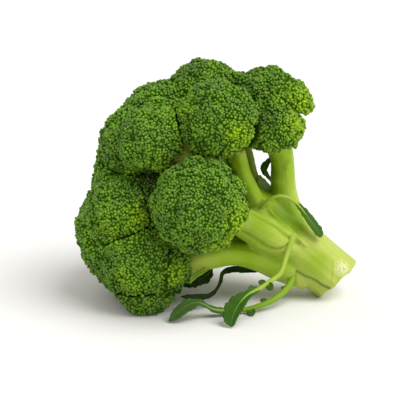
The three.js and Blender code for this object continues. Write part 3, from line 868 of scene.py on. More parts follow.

# %% [markdown]
# ## Under the buds: young stems and crowded bud stalks
# The branchlets under a rim are the same flesh as the stalk, thinner and greener, and too thin
# for fibres to show. Between the buds one sees only the tangle of their stalks, a matt deep green
# that is their own green darkened with painted shade. In both, two greens drift into each other,
# so one function makes them. The drift is about a centimetre long in a branchlet, and about as
# wide as a bud in the tangle.

# %% Materials of the thin stems
def drifting_green(name, scale, greens, roughness, gleam):
    """Green flesh between two colours. The scale is how many drifts there are in a metre."""
    material = new_material(name)
    place = add_node(material, "ShaderNodeTexCoord")
    drift = add_node(
        material,
        "ShaderNodeTexNoise",
        {"Scale": scale, "Detail": 2.0},
        {"Vector": place.outputs["Object"]},
    )
    colour = add_node(
        material,
        "ShaderNodeMix",
        {"data_type": "RGBA", 6: linear(greens[0]), 7: linear(greens[1])},
        {0: drift.outputs["Fac"]},
    )
    shader = add_node(
        material,
        "ShaderNodeBsdfPrincipled",
        {"Roughness": roughness, "IOR": 1.4, "Specular IOR Level": gleam},
        {"Base Color": colour.outputs[2]},
    )
    add_node(material, "ShaderNodeOutputMaterial", links={"Surface": shader.outputs["BSDF"]})
    return material


branch_skin = drifting_green("young_stem", 90.0, (0x5E7F1C, 0x96B044), 0.5, 0.4)
# the tangle's own green darkened with painted shade
shaded_core_skin = drifting_green("bud_stalks_painted_shade", 700.0, (0x26440A, 0x527A1A), 0.9, 0.1)
print("materials of thin stems ready")

# %% [markdown]
# ## One bud
# A bud is a round bead about 2 mm across on a short neck. It is modelled once, from a coarse
# ball: stretched a little, its underside cut away, and the cut edge drawn in and down to make
# the neck. It has few faces, because there will be many thousand of them. It is modelled in
# millimetres as if they were metres, so that no operator's threshold is larger than the bud.

# %% Model one bud
BUD_PITCH = 1.84  # mm from one bud to the next
BUNCH_PITCH = 5.6  # mm from one bunch of buds to the next
BUD_RADIUS = 1.16  # mm, a little over half the pitch, so that neighbours touch
NECK_SHARE = 0.72  # of the width of the cut
bpy.ops.object.select_all(action="DESELECT")
bpy.ops.mesh.primitive_uv_sphere_add(segments=6, ring_count=4, radius=BUD_RADIUS)
bud = bpy.context.object
bpy.ops.object.mode_set(mode="EDIT")
bpy.ops.mesh.select_all(action="SELECT")
bpy.ops.transform.resize(value=(1, 1, 1.15))
bpy.ops.mesh.bisect(
    plane_co=(0, 0, -0.6), plane_no=(0, 0, -1), use_fill=True, clear_outer=True, threshold=1e-4
)
bpy.ops.mesh.select_all(action="DESELECT")
bpy.ops.object.mode_set(mode="OBJECT")
for vertex in bud.data.vertices:
    vertex.select = vertex.co.z < -0.5
bpy.ops.object.mode_set(mode="EDIT")
bpy.ops.mesh.select_mode(type="VERT")
bpy.ops.transform.resize(value=(NECK_SHARE, NECK_SHARE, 1))
bpy.ops.transform.translate(value=(0, 0, -0.5))
bpy.ops.object.mode_set(mode="OBJECT")
bud_points = corners(bud) * MM
bud_points[:, 2] -= bud_points[:, 2].max()
bud_loops = np.array([loop.vertex_index for loop in bud.data.loops])
bud_sides = np.array([len(face.vertices) for face in bud.data.polygons])
bud_foot = bud_points[:, 2].min()
bud_height = 1 - bud_points[:, 2] / bud_foot
print("a bud has", triangle_count([bud]), "triangles and is", round(-float(bud_foot), 2), "mm high")
bpy.data.objects.remove(bud)

# %% [markdown]
# ## The shape of a floret
# The twig splits into branchlets, and each of them into a little dome of buds, a sprig. So a
# floret is a large dome made of small domes. The sprigs sit on a spiral that turns by the
# golden angle, as most plants grow, and so do the buds of the floret.

# %% Spirals, sprigs and their domes
GOLDEN_ANGLE = math.pi * (3 - math.sqrt(5))
EDGE = math.cos(math.radians(112))  # a floret carries buds as far as this from its top


def spiral(count, top, bottom):
    """Directions spread by the golden angle between two heights of a unit ball."""
    i = np.arange(count)
    z = top + (bottom - top) * (i + 0.5) / count
    s = np.sqrt(1 - z * z)
    return np.stack([s * np.cos(i * GOLDEN_ANGLE), s * np.sin(i * GOLDEN_ANGLE), z], axis=1)


def band_count(radius, top, bottom, pitch):
    """How many places of this pitch fill the band between two heights of a unit ball."""
    return round(2 * math.pi * radius**2 * (top - bottom) / (0.866 * pitch**2))


def smooth(t):
    """0 below 0, 1 above 1, and a soft S between them."""
    t = np.clip(t, 0, 1)
    return t * t * (3 - 2 * t)


def sprigs(size):
    """A floret's sprigs: their directions, their distance from its middle, and their radius."""
    radius = 2.4 + 0.25 * size
    ring = size - radius
    return spiral(band_count(ring, 1, EDGE, 1.18 * radius), 1, EDGE), ring, radius


def sprig_domes(size, directions):
    """How far a floret reaches in directions of its own frame, whose +Z is its top, and the
    number of the sprig that is met there."""
    tops, ring, radius = sprigs(size)
    cosine = directions @ tops.T
    inside = radius**2 - ring**2 * (1 - cosine**2)
    domes = np.where((cosine > 0) & (inside > 0), ring * cosine + np.sqrt(np.maximum(inside, 0)), 0)
    under = smooth((EDGE - directions[:, 2]) / (1 + EDGE))
    reach = np.maximum(size * (0.8 - 0.28 * under), domes.max(axis=1))
    softened = np.where(reach > 0.75 * size, 0.15 * size + 0.85 * reach, reach)
    return np.where(directions[:, 2] > EDGE, softened, reach), domes.argmax(axis=1)


print("a floret of 26 mm has", len(sprigs(26)[0]), "sprigs")

# %% [markdown]
# ## Bunches and lumps
# Within a sprig the buds stand in bunches of ten or so, and no dome is a perfect ball. So
# bunches and wide lumps raise the surface here and let it sink there. A search tree finds the
# bunch that is nearest to a direction.

# %% Raise bunches and lumps
def tree_of(points):
    """A search tree that finds the nearest of these points."""
    tree = KDTree(len(points))
    for i, point in enumerate(points):
        tree.insert(point, i)
    tree.balance()
    return tree


def bunches(size, directions):
    """How far each direction is raised by the bunch of buds that it meets, in mm, and the number
    of that bunch. The bunches' own spiral is a little uneven."""
    tops = spiral(band_count(size, 1, EDGE, BUNCH_PITCH), 1, EDGE)
    tops = unit(tops + 0.25 * BUNCH_PITCH / size * np.sin(40 * tops[:, [1, 2, 0]]))
    tree = tree_of(tops)
    met = [tree.find(way) for way in directions]
    number = np.array([found[1] for found in met])
    across = np.array([found[2] for found in met]) * size / (0.5 * BUNCH_PITCH)
    proud = 0.45 * np.sin(2.4 * number)
    return proud + 0.9 * np.maximum(1 - across**2, -0.8), number


def lumps(points):
    """How far the florets bulge or sink at these points, in mm: no dome is a perfect ball."""
    return 1.3 * np.array([noise.noise(Vector(point) * 0.075) for point in points])


print("a floret of 26 mm has", band_count(26, 1, EDGE, BUNCH_PITCH), "bunches")

# %% [markdown]
# ## Neighbours
# Two florets that grow against each other press flat along a plane, where a dark seam shows.
# Towards a seam they also swell, because their sprigs spread into the room that is left.

# %% Swell towards the neighbours, and find the planes between them
def frame_of(name):
    """The turn from a floret's own frame to the head's, as a matrix of columns."""
    turn = Vector((0, 0, 1)).rotation_difference(Vector(facing(name)))
    return np.array(turn.to_matrix())


def swollen(name, tips):
    """Raises points of a floret's own frame near its neighbours, to fill the notch between them."""
    middle, size, soft = np.array(FLORETS[name][0], float), FLORETS[name][1], FLORETS[name][6]
    out = np.linalg.norm(tips, axis=1)
    world = middle + tips @ frame_of(name).T
    rise = np.zeros(len(tips))
    for other, (place, radius, *_, other_soft) in FLORETS.items():
        if other != name:
            softness = min(soft, other_soft)
            gap = np.maximum(np.linalg.norm(world - np.array(place), axis=1) - radius, -2)
            rise += softness * np.log1p(np.exp(-gap / softness))
    rise *= smooth((tips[:, 2] / out - EDGE) / (0.4 - EDGE))
    return tips * (1 + rise / out)[:, None]


def planes_of(name):
    """The planes that press on a floret: for each the way out, and its distance from the middle."""
    middle, size = np.array(FLORETS[name][0], float), FLORETS[name][1]
    found = []
    for other, (place, radius, *_) in FLORETS.items():
        apart = np.array(place) - middle
        distance = np.linalg.norm(apart)
        if other != name and distance < size + radius + 8:
            found.append((apart / distance, (distance**2 + size**2 - radius**2) / (2 * distance)))
    return found


print("the front floret has", len(planes_of("front")), "neighbours")

# %% [markdown]
# ## Yellow places
# Buds are deep green where the head faced the sun and yellow-green where it was shaded, near
# the rims of the florets. A few patches have turned yellow. In the deepest crevices the buds get
# painted shade, nearly black.

# %% Yellow patches and painted deep shade
PATCHES = [  # middle and radius in mm, and how yellow
    ((13, -60, 64), 10, 1.0),
    ((11, -58, 53), 8, 0.8),
    ((2, -62, 46), 9, 0.4),
    ((14, -44, 110), 9, 0.8),
    ((19, -40, 104), 8, 0.6),
    ((52, -6, 124), 12, 0.8),
    ((46, -18, 110), 10, 0.8),
    ((36, -14, 126), 7, 0.5),
    ((-23, -47, 28), 8, 0.7),
    ((-50, -46, 24), 10, 0.4),
    ((-44, -42, 62), 9, 0.6),
    ((-60, -38, 54), 13, 0.35),
    ((-34, -42, 92), 8, 0.3),
    ((-20, -30, 124), 9, 0.3),
    ((12, 66, 60), 11, 0.8),
    ((30, 42, 112), 11, 0.8),
    ((-62, 38, 50), 12, 0.5),
]
# painted deep shade: buds in the deepest crevices are darkened nearly to black
PAINTED_DEEP_SHADE = [  # the same for places where hardly any light came, and how dark
    ((-38, -28, 80), 9, 1.6),
    ((-38, -30, 73), 8, 1.6),
    ((-39, -34, 66), 6, 1.2),
    ((28, -23, 111), 9, 0.6),
]


def yellowness(points, rim):
    """How yellow a bud is, from its place and how near it sits to its floret's rim."""
    return np.clip(0.02 + 0.3 * np.clip(rim, 0, 1) + dabs(points, PATCHES), 0, 1)


print(len(PATCHES), "yellow patches and", len(PAINTED_DEEP_SHADE), "deep places")

# %% [markdown]
# ## Florets
# For each floret, buds are set all over its domes, and left out beyond a seam or below the
# table. Two buds closer than about two thirds of the pitch would run into each other, so the
# later one is left out, and here and there one never grew.

# %% Places of a floret's buds
JITTER = 0.17  # how far a bud strays from the spiral, as a share of the pitch
CLOSEST = 0.68  # the least distance between two buds, as a share of the pitch
MISSING = 0.04  # the share of buds that never grew


def bud_places(name, random):
    """The tips and directions of a floret's buds in the head's frame, how near each one sits to
    the rim, and the number of its bunch."""
    middle, size = np.array(FLORETS[name][0], float), FLORETS[name][1]
    tops, ring, radius = sprigs(size)
    ways = spiral(band_count(1.03 * size, 1, EDGE, BUD_PITCH), 1, EDGE)
    ways = unit(ways + random.normal(0, JITTER * BUD_PITCH / size, ways.shape))
    reach, sprig = sprig_domes(size, ways)
    tips = swollen(name, reach[:, None] * ways)
    raised, bunch = bunches(size, ways)
    rim = (0.45 - ways[:, 2]) / 0.8
    raised += lumps(middle + tips @ frame_of(name).T)
    raised += random.normal(0, 1, len(ways)) * (0.24 + 0.3 * np.clip(rim, 0, 1))
    tips += raised[:, None] * ways
    domed = unit(reach[:, None] * ways - ring * tops[sprig])
    turn = frame_of(name)
    world, lean = middle + tips @ turn.T, unit(0.5 * domed + 0.5 * ways) @ turn.T
    ok = (world[:, 2] > 0.3) & (random.uniform(0, 1, len(world)) > MISSING)
    for out, distance in planes_of(name):
        ok &= (world - middle) @ out < distance + 0.1
    world, lean, rim, bunch = world[ok], lean[ok], rim[ok], bunch[ok]
    tree = tree_of(world)
    ok = np.ones(len(world), bool)
    for i, tip in enumerate(world):
        if ok[i]:
            for _, j, _ in tree.find_range(tip, CLOSEST * BUD_PITCH):
                if j > i:
                    ok[j] = False
    return world[ok], lean[ok], rim[ok], bunch[ok]


print("buds are at least", round(CLOSEST * BUD_PITCH, 2), "mm apart")

# %% [markdown]
# ## Thousands of buds in one mesh
# Thousands of objects would be slow, so all buds of a floret go into one mesh. It is filled
# straight from arrays: the one bud's points, sized, turned and set in each place. No two buds
# are alike in size, turn, lean, shade and ripeness.

# %% Copy the bud to its places
def mesh_piece(name, points, loops, sides):
    """An object from arrays: points in mm, the corner numbers of all faces, and their counts."""
    mesh = bpy.data.meshes.new(name)
    mesh.vertices.add(len(points))
    mesh.vertices.foreach_set("co", (points * MM).ravel())
    mesh.loops.add(len(loops))
    mesh.loops.foreach_set("vertex_index", loops.astype(np.int32))
    mesh.polygons.add(len(sides))
    mesh.polygons.foreach_set("loop_start", (np.cumsum(sides) - sides).astype(np.int32))
    mesh.update(calc_edges=True)
    mesh.validate()
    piece = bpy.data.objects.new(name, mesh)
    bpy.context.collection.objects.link(piece)
    shade_smooth(piece)
    return piece


def buds(name, random):
    """All the buds of a floret, as copies of the one bud in one mesh."""
    tips, ways, rims, bunch = bud_places(name, random)
    n = len(tips)
    size = random.uniform(0.82, 1.16, (n, 1, 1))
    spin = random.uniform(0, 2 * math.pi, (n, 1))
    ways = unit(ways + random.normal(0, 0.12, ways.shape))  # none stands quite straight
    side = unit(np.cross(ways, (0.31, 0.83, 0.46)))
    x = np.cos(spin) * side + np.sin(spin) * np.cross(ways, side)
    y = np.cross(ways, x)
    grown = bud_points[None] * size
    points = tips[:, None] + grown[..., :1] * x[:, None]
    points += grown[..., 1:2] * y[:, None]
    points += grown[..., 2:] * ways[:, None]
    points[..., 2] = np.maximum(points[..., 2], 0)
    m = len(bud_points)
    loops = (bud_loops[None] + m * np.arange(n)[:, None]).ravel()
    piece = mesh_piece(f"floret_{name}_fine", points.reshape(-1, 3), loops, np.tile(bud_sides, n))
    shade = random.uniform(0, 1, n)
    # Whole bunches are riper than others, and a light bud is a little riper too.
    riper = 0.22 * random.uniform(0, 1, bunch.max() + 1)[bunch] + 0.14 * shade**3
    yellow = np.clip(yellowness(tips, rims) + riper, 0, 1)
    # painted shade: darker towards the table
    shade *= np.clip(tips[:, 2] / 32, 0.05, 1)  # the sun never reached the lowest florets
    # painted light: the left side is paler
    shade += 0.28 * np.clip((-20 - tips[:, 0]) / 30, 0, 1)  # the sunny side is a little paler
    # painted deep shade in the crevices
    shade = np.maximum(shade - dabs(tips, PAINTED_DEEP_SHADE), -0.95)
    store_tone(piece, np.repeat(yellow, m), np.tile(bud_height, n), np.repeat(shade, m))
    piece.data.materials.append(bud_skin)
    return piece


rng = np.random.default_rng(7)
florets = {name: buds(name, rng) for name in FLORETS}
bud_count = sum(len(piece.data.vertices) for piece in florets.values()) // len(bud_points)
print(bud_count, "buds with", triangle_count(florets.values()), "triangles")

# %% [markdown]
# ## Cores and branchlets
# A lumpy core fills the floret under its buds, its green darkened with painted shade. It is a
# ball pushed in and out to follow the sprigs, 1.5 mm below the bud tips, and laid flat along each
# seam. Pale branchlets carry the rim, as one sees from below.

# %% Add the cores and branchlets
CORE_DEPTH = 1.5  # mm below the tips of the buds
bpy.ops.object.select_all(action="DESELECT")
bpy.ops.mesh.primitive_ico_sphere_add(subdivisions=5, radius=1)
ball = bpy.context.object
ball_ways = unit(corners(ball))
ball_loops = np.array([loop.vertex_index for loop in ball.data.loops])
ball_sides = np.full(len(ball.data.polygons), 3)
bpy.data.objects.remove(ball)


def core(name):
    """The dark core of a floret, under its buds."""
    middle, size = np.array(FLORETS[name][0], float), FLORETS[name][1]
    depth = CORE_DEPTH + np.where(ball_ways[:, 2] > EDGE, 0, 0.14 * size)
    reach, _ = sprig_domes(size, ball_ways)
    tips = swollen(name, reach[:, None] * ball_ways)
    rise = bunches(size, ball_ways)[0] + lumps(middle + tips @ frame_of(name).T) - depth
    points = middle + (tips + rise[:, None] * ball_ways) @ frame_of(name).T
    for out, distance in planes_of(name):
        over = np.maximum((points - middle) @ out - (distance - 0.3), 0)
        points -= over[:, None] * out
    points[:, 2] = np.maximum(points[:, 2], 0.2)
    piece = mesh_piece("core", points, ball_loops, ball_sides)
    store_tone(piece)
    piece.data.materials.append(shaded_core_skin)
    return piece


def branchlets(name):
    """Pale stems from the end of the twig out to the sprigs near the rim."""
    middle, size = np.array(FLORETS[name][0], float), FLORETS[name][1]
    tops, ring, radius = sprigs(size)
    turn = frame_of(name)
    start = np.array([0, 0, -0.5 * size])
    lines = []
    t = np.linspace(0, 1, 6)[:, None]
    for top in tops[tops[:, 2] < 0.45]:
        end = 0.88 * ring * top
        level = unit(np.array([top[0], top[1], 0])) * 0.42 * size + (0, 0, -0.42 * size)
        line = (1 - t) ** 2 * start + 2 * t * (1 - t) * level + t**2 * end
        lines.append((middle + line @ turn.T, np.linspace(0.085, 0.05, 6) * size))
    piece = stems("branchlets", lines, 1)
    store_tone(piece)
    piece.data.materials.append(branch_skin)
    return piece


for name, piece in florets.items():
    join([piece, core(name), branchlets(name)])
print("florets:", triangle_count(florets.values()), "triangles")

# %% [markdown]
# ## Leaves
# The small leaves have a round petiole that thins into the midrib, and a blade with a wavy
# toothed margin. The blade starts as a flat grid whose columns follow the midrib. Each row is
# set across the route at the width of the leaf there, cupped and waved, and Solidify gives the
# sheet its thickness.

# %% The leaves' routes
# name: (route of the midrib, petiole radius, share where the blade begins, half widths at even
# steps along the blade on either side, facing, lobes on the petiole as (share, side, length))
LEAVES = {
    "leaf_front": (
        [(45.4, -16.8, 41.2), (44.2, -19.2, 38), (42.8, -21.4, 34.4), (41, -25.5, 30),
         (38, -33, 24.6), (32, -40, 22), (25, -45, 18.8), (18.5, -49, 16.5), (14, -53, 13),
         (10.5, -57, 7.7), (8.5, -60, 1.2)],
        1.7, 0.57, ([1, 2, 2.8, 3.8, 4.6, 4.2, 3, 2.2], [1, 4.6, 3, 5.4, 7.6, 7.6, 6.4, 3.4]),
        (-0.35, -0.65, 0.66), [(0.5, 1, 5.6), (0.52, -1, 4.6)],
    ),
    "leaf_floor": (
        [(48.5, -8, 19), (45.5, -16, 13.6), (41, -22, 9.6), (35, -27, 6.6), (28.5, -31, 4.6),
         (20.5, -34, 3), (12, -36, 2.6), (4, -38.5, 3), (-2, -41, 5), (-6.5, -43.5, 8.6),
         (-10.5, -45.5, 10.6), (-15, -47.5, 10), (-20.5, -49.5, 6.8), (-27, -51, 1.2)],
        2, 0.52, ([1, 2.8, 3, 2, 3.8, 5.2, 4.6, 1.2], [1, 2.4, 3.2, 2.2, 3.6, 4.8, 4, 1.2]),
        (-0.1, -0.45, 0.9), [(0.16, -1, 3.4), (0.33, -1, 4.6), (0.44, 1, 6)],
    ),
    "leaf_under": (
        [(34, -10, 21.5), (25.7, -14, 20.6), (18, -16, 21.6), (10, -18, 22.2), (4.5, -20.5, 20.6),
         (3, -23, 15.5), (-2, -27, 9.6), (-11, -31, 9), (-20, -33.5, 10.4)],
        0.8, 0.12,
        ([1.4, 2.2, 2.6, 2.2, 1.2, 0.9, 1.3, 2.1, 2.2, 0.8],
         [1.2, 1.8, 2, 1.8, 1.2, 0.9, 1.3, 2.1, 2, 0.8]),
        (0.1, -0.8, 0.6), [],
    ),
    "leaf_shade": (
        [(-0.5, -17, 28), (-2.5, -18.5, 22), (-6.5, -20.5, 18), (-13, -22.5, 16), (-19.5, -25, 14.4)],
        1, 0.2, ([0.8, 3.2, 4.4, 3.8, 4.2, 3, 1], [0.8, 2.8, 4.2, 4.4, 3.8, 3, 1]),
        (0.2, -0.85, 0.5), [],
    ),
    "leaf_saddle": (
        [(26.5, -12, 57), (29, -14, 61), (33, -15.5, 65), (38, -16.5, 66.8), (43.5, -16, 65.4),
         (48.5, -14.5, 61), (53, -13.5, 55.5), (58, -13.5, 48.6), (63.5, -13, 41)],
        1.2, 0.5, ([1, 2.4, 3.2, 3.6, 3.8, 3.8, 3], [1, 2.2, 3, 3.4, 3.6, 3.6, 2.6]),
        (0.55, -0.6, 0.5), [],
    ),
    "leaf_inner": (
        [(39, 9.5, 60), (37, 9.5, 65), (33.5, 8.5, 70.5), (29.5, 6, 77.5), (31.5, 4.5, 82),
         (34, 3, 86)],
        1, 0.35, ([0.8, 1.4, 2.2, 2.8, 1.8, 0.5], [0.8, 1.2, 2, 2.4, 1.6, 0.5]),
        (-0.5, -0.8, 0.2), [],
    ),
    "leaf_fold": (
        [(42, 0, 54), (36, 1, 60), (31.5, 1.5, 66), (28, 1.5, 71.5), (26.5, 1.5, 75)],
        1.2, 0.15, ([2, 4, 4.6, 3.6, 1], [2, 3.4, 3.8, 3, 1]),
        (-0.5, -0.8, 0.3), [],
    ),
    "leaf_bract": (
        [(-1, -25, 29), (-4.5, -30, 26.6), (-8.5, -36, 26.2), (-12.5, -41.5, 25), (-15, -44.5, 22)],
        0.9, 0.2, ([0.8, 1.6, 2.2, 1.8, 0.5], [0.8, 1.6, 2.2, 1.8, 0.5]),
        (-0.2, -0.7, 0.6), [],
    ),
}
BLADE_THICKNESS = 0.7  # mm
TEETH = 6  # along one side of a blade
LEAF_STEPS = 120  # along a leaf's whole midrib
print(len(LEAVES), "leaves")

# %% [markdown]
# ## A blade
# The grid has thirteen points across, enough for a smooth cup. It is cupped by the square of the
# place across it, so the midrib lies in a channel, and waves grow towards the margin.

# %% Blades
def blade(line, faces, half_widths, ruffle):
    """A thin sheet along a line of points, cupped across and waved along its margin. The half
    widths are given for side 1 and side -1."""
    rows, columns = len(line), 13
    bpy.ops.object.select_all(action="DESELECT")
    bpy.ops.mesh.primitive_grid_add(x_subdivisions=columns - 1, y_subdivisions=rows - 1, size=2)
    sheet = bpy.context.object
    flat = corners(sheet) * MM
    c = flat[:, 0]
    u = (flat[:, 1] + 1) / 2
    row = np.rint(u * (rows - 1)).astype(int)
    ahead = unit(np.gradient(line, axis=0))
    side = unit(np.cross(faces, ahead))
    up = np.cross(ahead, side)
    w = np.where(c < 0, half_widths[1][row], half_widths[0][row])
    cup = 0.14 * w * c * c + 0.05 * w * c * np.sin(25 * u) + ruffle * c * c * np.sin(44 * u + 2 * c)
    put_corners(sheet, line[row] + (w * c)[:, None] * side[row] + cup[:, None] * up[row])
    store_tone(sheet, (c + 1) / 2, u, 1)
    apply(sheet, "SOLIDIFY", {"thickness": BLADE_THICKNESS * MM, "offset": 0})
    shade_smooth(sheet)
    return sheet


def soft_along(values, u):
    """Like along, but rounded at the entries."""
    place = u * (len(values) - 1)
    low = np.clip(place.astype(int), 0, len(values) - 2)
    share = place - low
    share = share * share * (3 - 2 * share)
    values = np.array(values, float)
    return values[low] * (1 - share) + values[low + 1] * share


print("a blade is", BLADE_THICKNESS, "mm thick")

# %% [markdown]
# ## A whole leaf
# The petiole is a stem, thick where it leaves the stalk, and it runs on as the thin midrib of
# the blade. A lobe on the petiole is a small blade of its own. The parts are joined, and what
# would hang below the table lies on it.

# %% Blade, petiole and lobes joined
def leaf(name):
    """A leaf as one mesh: its blade, its petiole with the midrib, and its lobes."""
    route, petiole, begins, widths, faces, lobes = LEAVES[name]
    line = smooth_route(route, LEAF_STEPS + 1)
    u = np.linspace(0, 1, LEAF_STEPS + 1)
    t = np.clip((u - begins) / (1 - begins), 0, 1)
    base = 0.3 * bell(u * far_along(line)[-1], 3.5)
    rib = petiole * (np.where(u < begins, 1.1 - 0.35 * u / begins, 0.75 * (1 - t) ** 2 + 0.12) + base)
    waves = 2 * np.pi * TEETH * t
    tooth = 0.92 + 0.05 * np.cos(waves) + 0.04 * np.cos(2.3 * waves + 1)
    rounded = np.sqrt(np.clip(1 - ((t - 0.93) / 0.07) ** 2, 0, 1))
    tooth = np.where(t > 0.93, tooth * rounded, tooth)
    first = int(begins * LEAF_STEPS)
    both = [np.maximum(soft_along(half, t) * tooth, 0.3)[first:] for half in widths]
    parts = [blade(line[first:], faces, both, 0.035 * max(widths[0]))]
    root = line[0] - 3 * unit(line[1] - line[0])
    midrib = stems("midrib", [(np.vstack([root, line[::3]]), np.append(rib[0], rib[::3]))], 3)
    gaps = np.linalg.norm(corners(midrib)[:, None] - line[None, ::3], axis=2)
    reached = t[::3][gaps.argmin(axis=1)]
    store_tone(midrib, 0.5, reached, np.clip(2 * reached, 0, 1))
    parts.append(midrib)
    for share, way, length in lobes:
        i = int(share * LEAF_STEPS)
        ahead = unit(line[i + 1] - line[i - 1])
        side = unit(np.cross(faces, ahead)) * way
        end = line[i] + length * side + 0.35 * length * ahead
        s = np.linspace(0, 1, 15)
        lobe_line = line[i] + s[:, None] * (end - line[i])
        lobe_width = np.maximum(0.5, 0.42 * length * np.sin(np.pi * (0.15 + 0.75 * s)))
        parts.append(blade(lobe_line, faces, [lobe_width] * 2, 0.03 * length))
    join(parts)
    piece = parts[0]
    piece.name = f"{name}_fine"
    lifted = corners(piece)
    lifted[:, 2] = np.maximum(lifted[:, 2], 0.05)
    put_corners(piece, lifted)
    return piece


leaves = {name: leaf(name) for name in LEAVES}
print("leaves:", triangle_count(leaves.values()), "triangles")

# %% [markdown]
# ## Leaves: thin blades with a pale midrib
# A broccoli leaf is blue-green from its wax, with a pale midrib and side veins that leave it at
# a slant. The place across and along the blade is stored on the mesh, so the veins can be
# drawn from it.

# %% Veins of a leaf
def vein_pattern(material, across, lengthwise):
    """How strongly a vein shows: the midrib, which fades to the tip, and slanting side veins."""
    centred = add_node(material, "ShaderNodeMath", {"operation": "SUBTRACT", 1: 0.5}, {0: across})
    away = add_node(material, "ShaderNodeMath", {"operation": "ABSOLUTE"}, {0: centred.outputs[0]})
    midrib = add_node(
        material,
        "ShaderNodeMapRange",
        {"From Min": 0.01, "From Max": 0.04, "To Min": 0.9, "To Max": 0.0},
        {"Value": away.outputs[0]},
    )
    fading = add_node(
        material,
        "ShaderNodeMapRange",
        {"From Min": 0.35, "From Max": 0.95, "To Min": 1.0, "To Max": 0.15},
        {"Value": lengthwise},
    )
    faded = add_node(
        material,
        "ShaderNodeMath",
        {"operation": "MULTIPLY"},
        {0: midrib.outputs[0], 1: fading.outputs[0]},
    )
    slant = add_node(
        material,
        "ShaderNodeMath",
        {"operation": "MULTIPLY_ADD", 1: -0.5},
        {0: away.outputs[0], 2: lengthwise},
    )
    paired = add_node(
        material, "ShaderNodeMath", {"operation": "MULTIPLY", 1: 9.0}, {0: slant.outputs[0]}
    )
    wave = add_node(
        material, "ShaderNodeMath", {"operation": "PINGPONG", 1: 0.5}, {0: paired.outputs[0]}
    )
    side_veins = add_node(
        material,
        "ShaderNodeMapRange",
        {"From Min": 0.02, "From Max": 0.07, "To Min": 0.12, "To Max": 0.0},
        {"Value": wave.outputs[0]},
    )
    return add_node(
        material,
        "ShaderNodeMath",
        {"operation": "MAXIMUM"},
        {0: faded.outputs[0], 1: side_veins.outputs[0]},
    )


print("nine pairs of side veins, and a midrib")

# %% [markdown]
# ## Leaf finishes
# One function makes the finish from the colours of the blade, its veins and its petiole. A young
# bract is yellow-green, the back of a leaf is pale and greyish, and the leaves underneath are
# dark green with painted shade in their colour, and matt.

# %% Leaf materials
def leaf_material(name, blade_colour, vein_colour, petiole_colour, gleam=0.18):
    """A waxy blade with its veins, and the petiole that carries it."""
    material = new_material(name)
    tone_read = add_node(material, "ShaderNodeVertexColor", {"layer_name": "tone"})
    tones = add_node(material, "ShaderNodeSeparateColor", links={"Color": tone_read.outputs["Color"]})
    across, lengthwise, on_blade = (tones.outputs[k] for k in ("Red", "Green", "Blue"))
    veins = vein_pattern(material, across, lengthwise)
    place = add_node(material, "ShaderNodeTexCoord")
    mottle = add_node(
        material,
        "ShaderNodeTexNoise",
        {"Scale": 260.0, "Detail": 3.0},
        {"Vector": place.outputs["Object"]},
    )
    dark = tuple(0.62 * c for c in linear(blade_colour)[:3]) + (1,)
    flesh = add_node(
        material,
        "ShaderNodeMix",
        {"data_type": "RGBA", 6: dark, 7: linear(blade_colour)},
        {0: mottle.outputs["Fac"]},
    )
    veined = add_node(
        material,
        "ShaderNodeMix",
        {"data_type": "RGBA", 7: linear(vein_colour)},
        {0: veins.outputs[0], 6: flesh.outputs[2]},
    )
    whole = add_node(
        material,
        "ShaderNodeMix",
        {"data_type": "RGBA", 6: linear(petiole_colour)},
        {0: on_blade, 7: veined.outputs[2]},
    )
    relief = add_node(
        material,
        "ShaderNodeBump",
        {"Strength": 0.4, "Distance": 0.0004},
        {"Height": veins.outputs[0]},
    )
    shader = add_node(
        material,
        "ShaderNodeBsdfPrincipled",
        {"Roughness": 0.45, "IOR": 1.45, "Specular IOR Level": gleam},
        {"Base Color": whole.outputs[2], "Normal": relief.outputs["Normal"]},
    )
    add_node(material, "ShaderNodeOutputMaterial", links={"Surface": shader.outputs["BSDF"]})
    return material


green_leaf = leaf_material("waxy_leaf", 0x3B6416, 0x84A84A, 0x98AE3A)
low_leaf = leaf_material("low_leaf", 0x48692E, 0x84A84A, 0x7C9E1E)
bract_leaf = leaf_material("young_bract", 0x7E9E2C, 0xA9BE5A, 0x93B040)
pale_leaf = leaf_material("pale_leaf_back", 0x86A65C, 0xB4C88C, 0x93B040)
# painted shade: the leaves underneath get a near-black green on top of their own dark green
shaded_dark_leaf = leaf_material("dark_leaf_painted_shade", 0x1E3208, 0x32500F, 0x304810, 0.08)
print("leaf materials ready")

# %% [markdown]
# ## Pieces in place of the nodes
# Each piece stands for its node of the solid model, and rides on the one body, the root.

# %% Finishes and nodes
def hand_over(piece, node):
    """Puts a piece in the place of its node."""
    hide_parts(node)
    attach(piece, "root")


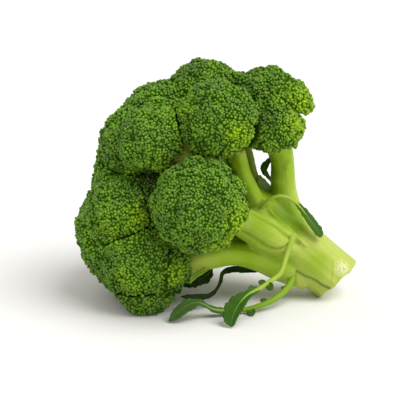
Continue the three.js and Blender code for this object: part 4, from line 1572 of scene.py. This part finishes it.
other_leaves = {"leaf_bract": bract_leaf, "leaf_fold": pale_leaf, "leaf_floor": low_leaf}
other_leaves |= {"leaf_under": shaded_dark_leaf, "leaf_shade": shaded_dark_leaf}
stalk.data.materials.append(stem_skin)
hand_over(stalk, "stalk")
for name, piece in florets.items():
    hand_over(piece, f"floret_{name}")
for name, piece in leaves.items():
    piece.data.materials.append(other_leaves.get(name, green_leaf))
    hand_over(piece, name)
print("handed over", 1 + len(florets) + len(leaves), "pieces")

# %% [markdown]
# ## Floor and light
# A vegetable is shown best on plain white paper in a light tent. The tent's walls are a pale
# sky all round, and one soft lamp, high at the right, gives the shapes their light side. A sun
# lamp with a wide angle is as soft as that lamp, and lights the paper evenly to its far edge.

# %% Floor, lamp and sky
bpy.ops.object.select_all(action="DESELECT")
bpy.ops.mesh.primitive_plane_add(size=6, location=(0, 0, 0))
floor = bpy.context.object
floor.name = "floor"
paper = new_material("white_paper")
matt = add_node(paper, "ShaderNodeBsdfDiffuse", {"Color": (0.82, 0.81, 0.8, 1)})
add_node(paper, "ShaderNodeOutputMaterial", links={"Surface": matt.outputs["BSDF"]})
floor.data.materials.append(paper)

lamp_data = bpy.data.lights.new("soft_lamp", "SUN")
lamp_data.energy = 2.4
lamp_data.angle = math.radians(45)
lamp = bpy.data.objects.new("soft_lamp", lamp_data)
lamp.rotation_mode = "QUATERNION"
lamp.rotation_quaternion = Vector((0.52, -0.3, 0.86)).to_track_quat("Z", "Y")
bpy.context.collection.objects.link(lamp)
world = bpy.data.worlds.new("pale_sky")
bpy.context.scene.world = world
world.use_nodes = True
sky = world.node_tree.nodes["Background"]
sky.inputs["Color"].default_value = (1, 0.975, 0.95, 1)
sky.inputs["Strength"].default_value = 0.76
bpy.context.scene.view_settings.view_transform = "Standard"
print("a lamp and a sky")

# %% [markdown]
# ## Camera
# A long lens from 0.9 m, looking down by 15 degrees, shows the head without distortion.

# %% Camera
camera_data = bpy.data.cameras.new("camera")
camera_data.lens = 135
camera = bpy.data.objects.new("camera", camera_data)
bpy.context.collection.objects.link(camera)
down = math.radians(15)
target = Vector((-0.009, 0, 0.060))
camera.location = target + 0.9 * Vector((0, -math.cos(down), math.sin(down)))
camera.rotation_euler = (math.pi / 2 - down, 0, 0)
bpy.context.scene.camera = camera
print("camera at", tuple(round(c, 3) for c in camera.location))

# %% Finish
bpy.context.view_layer.update()
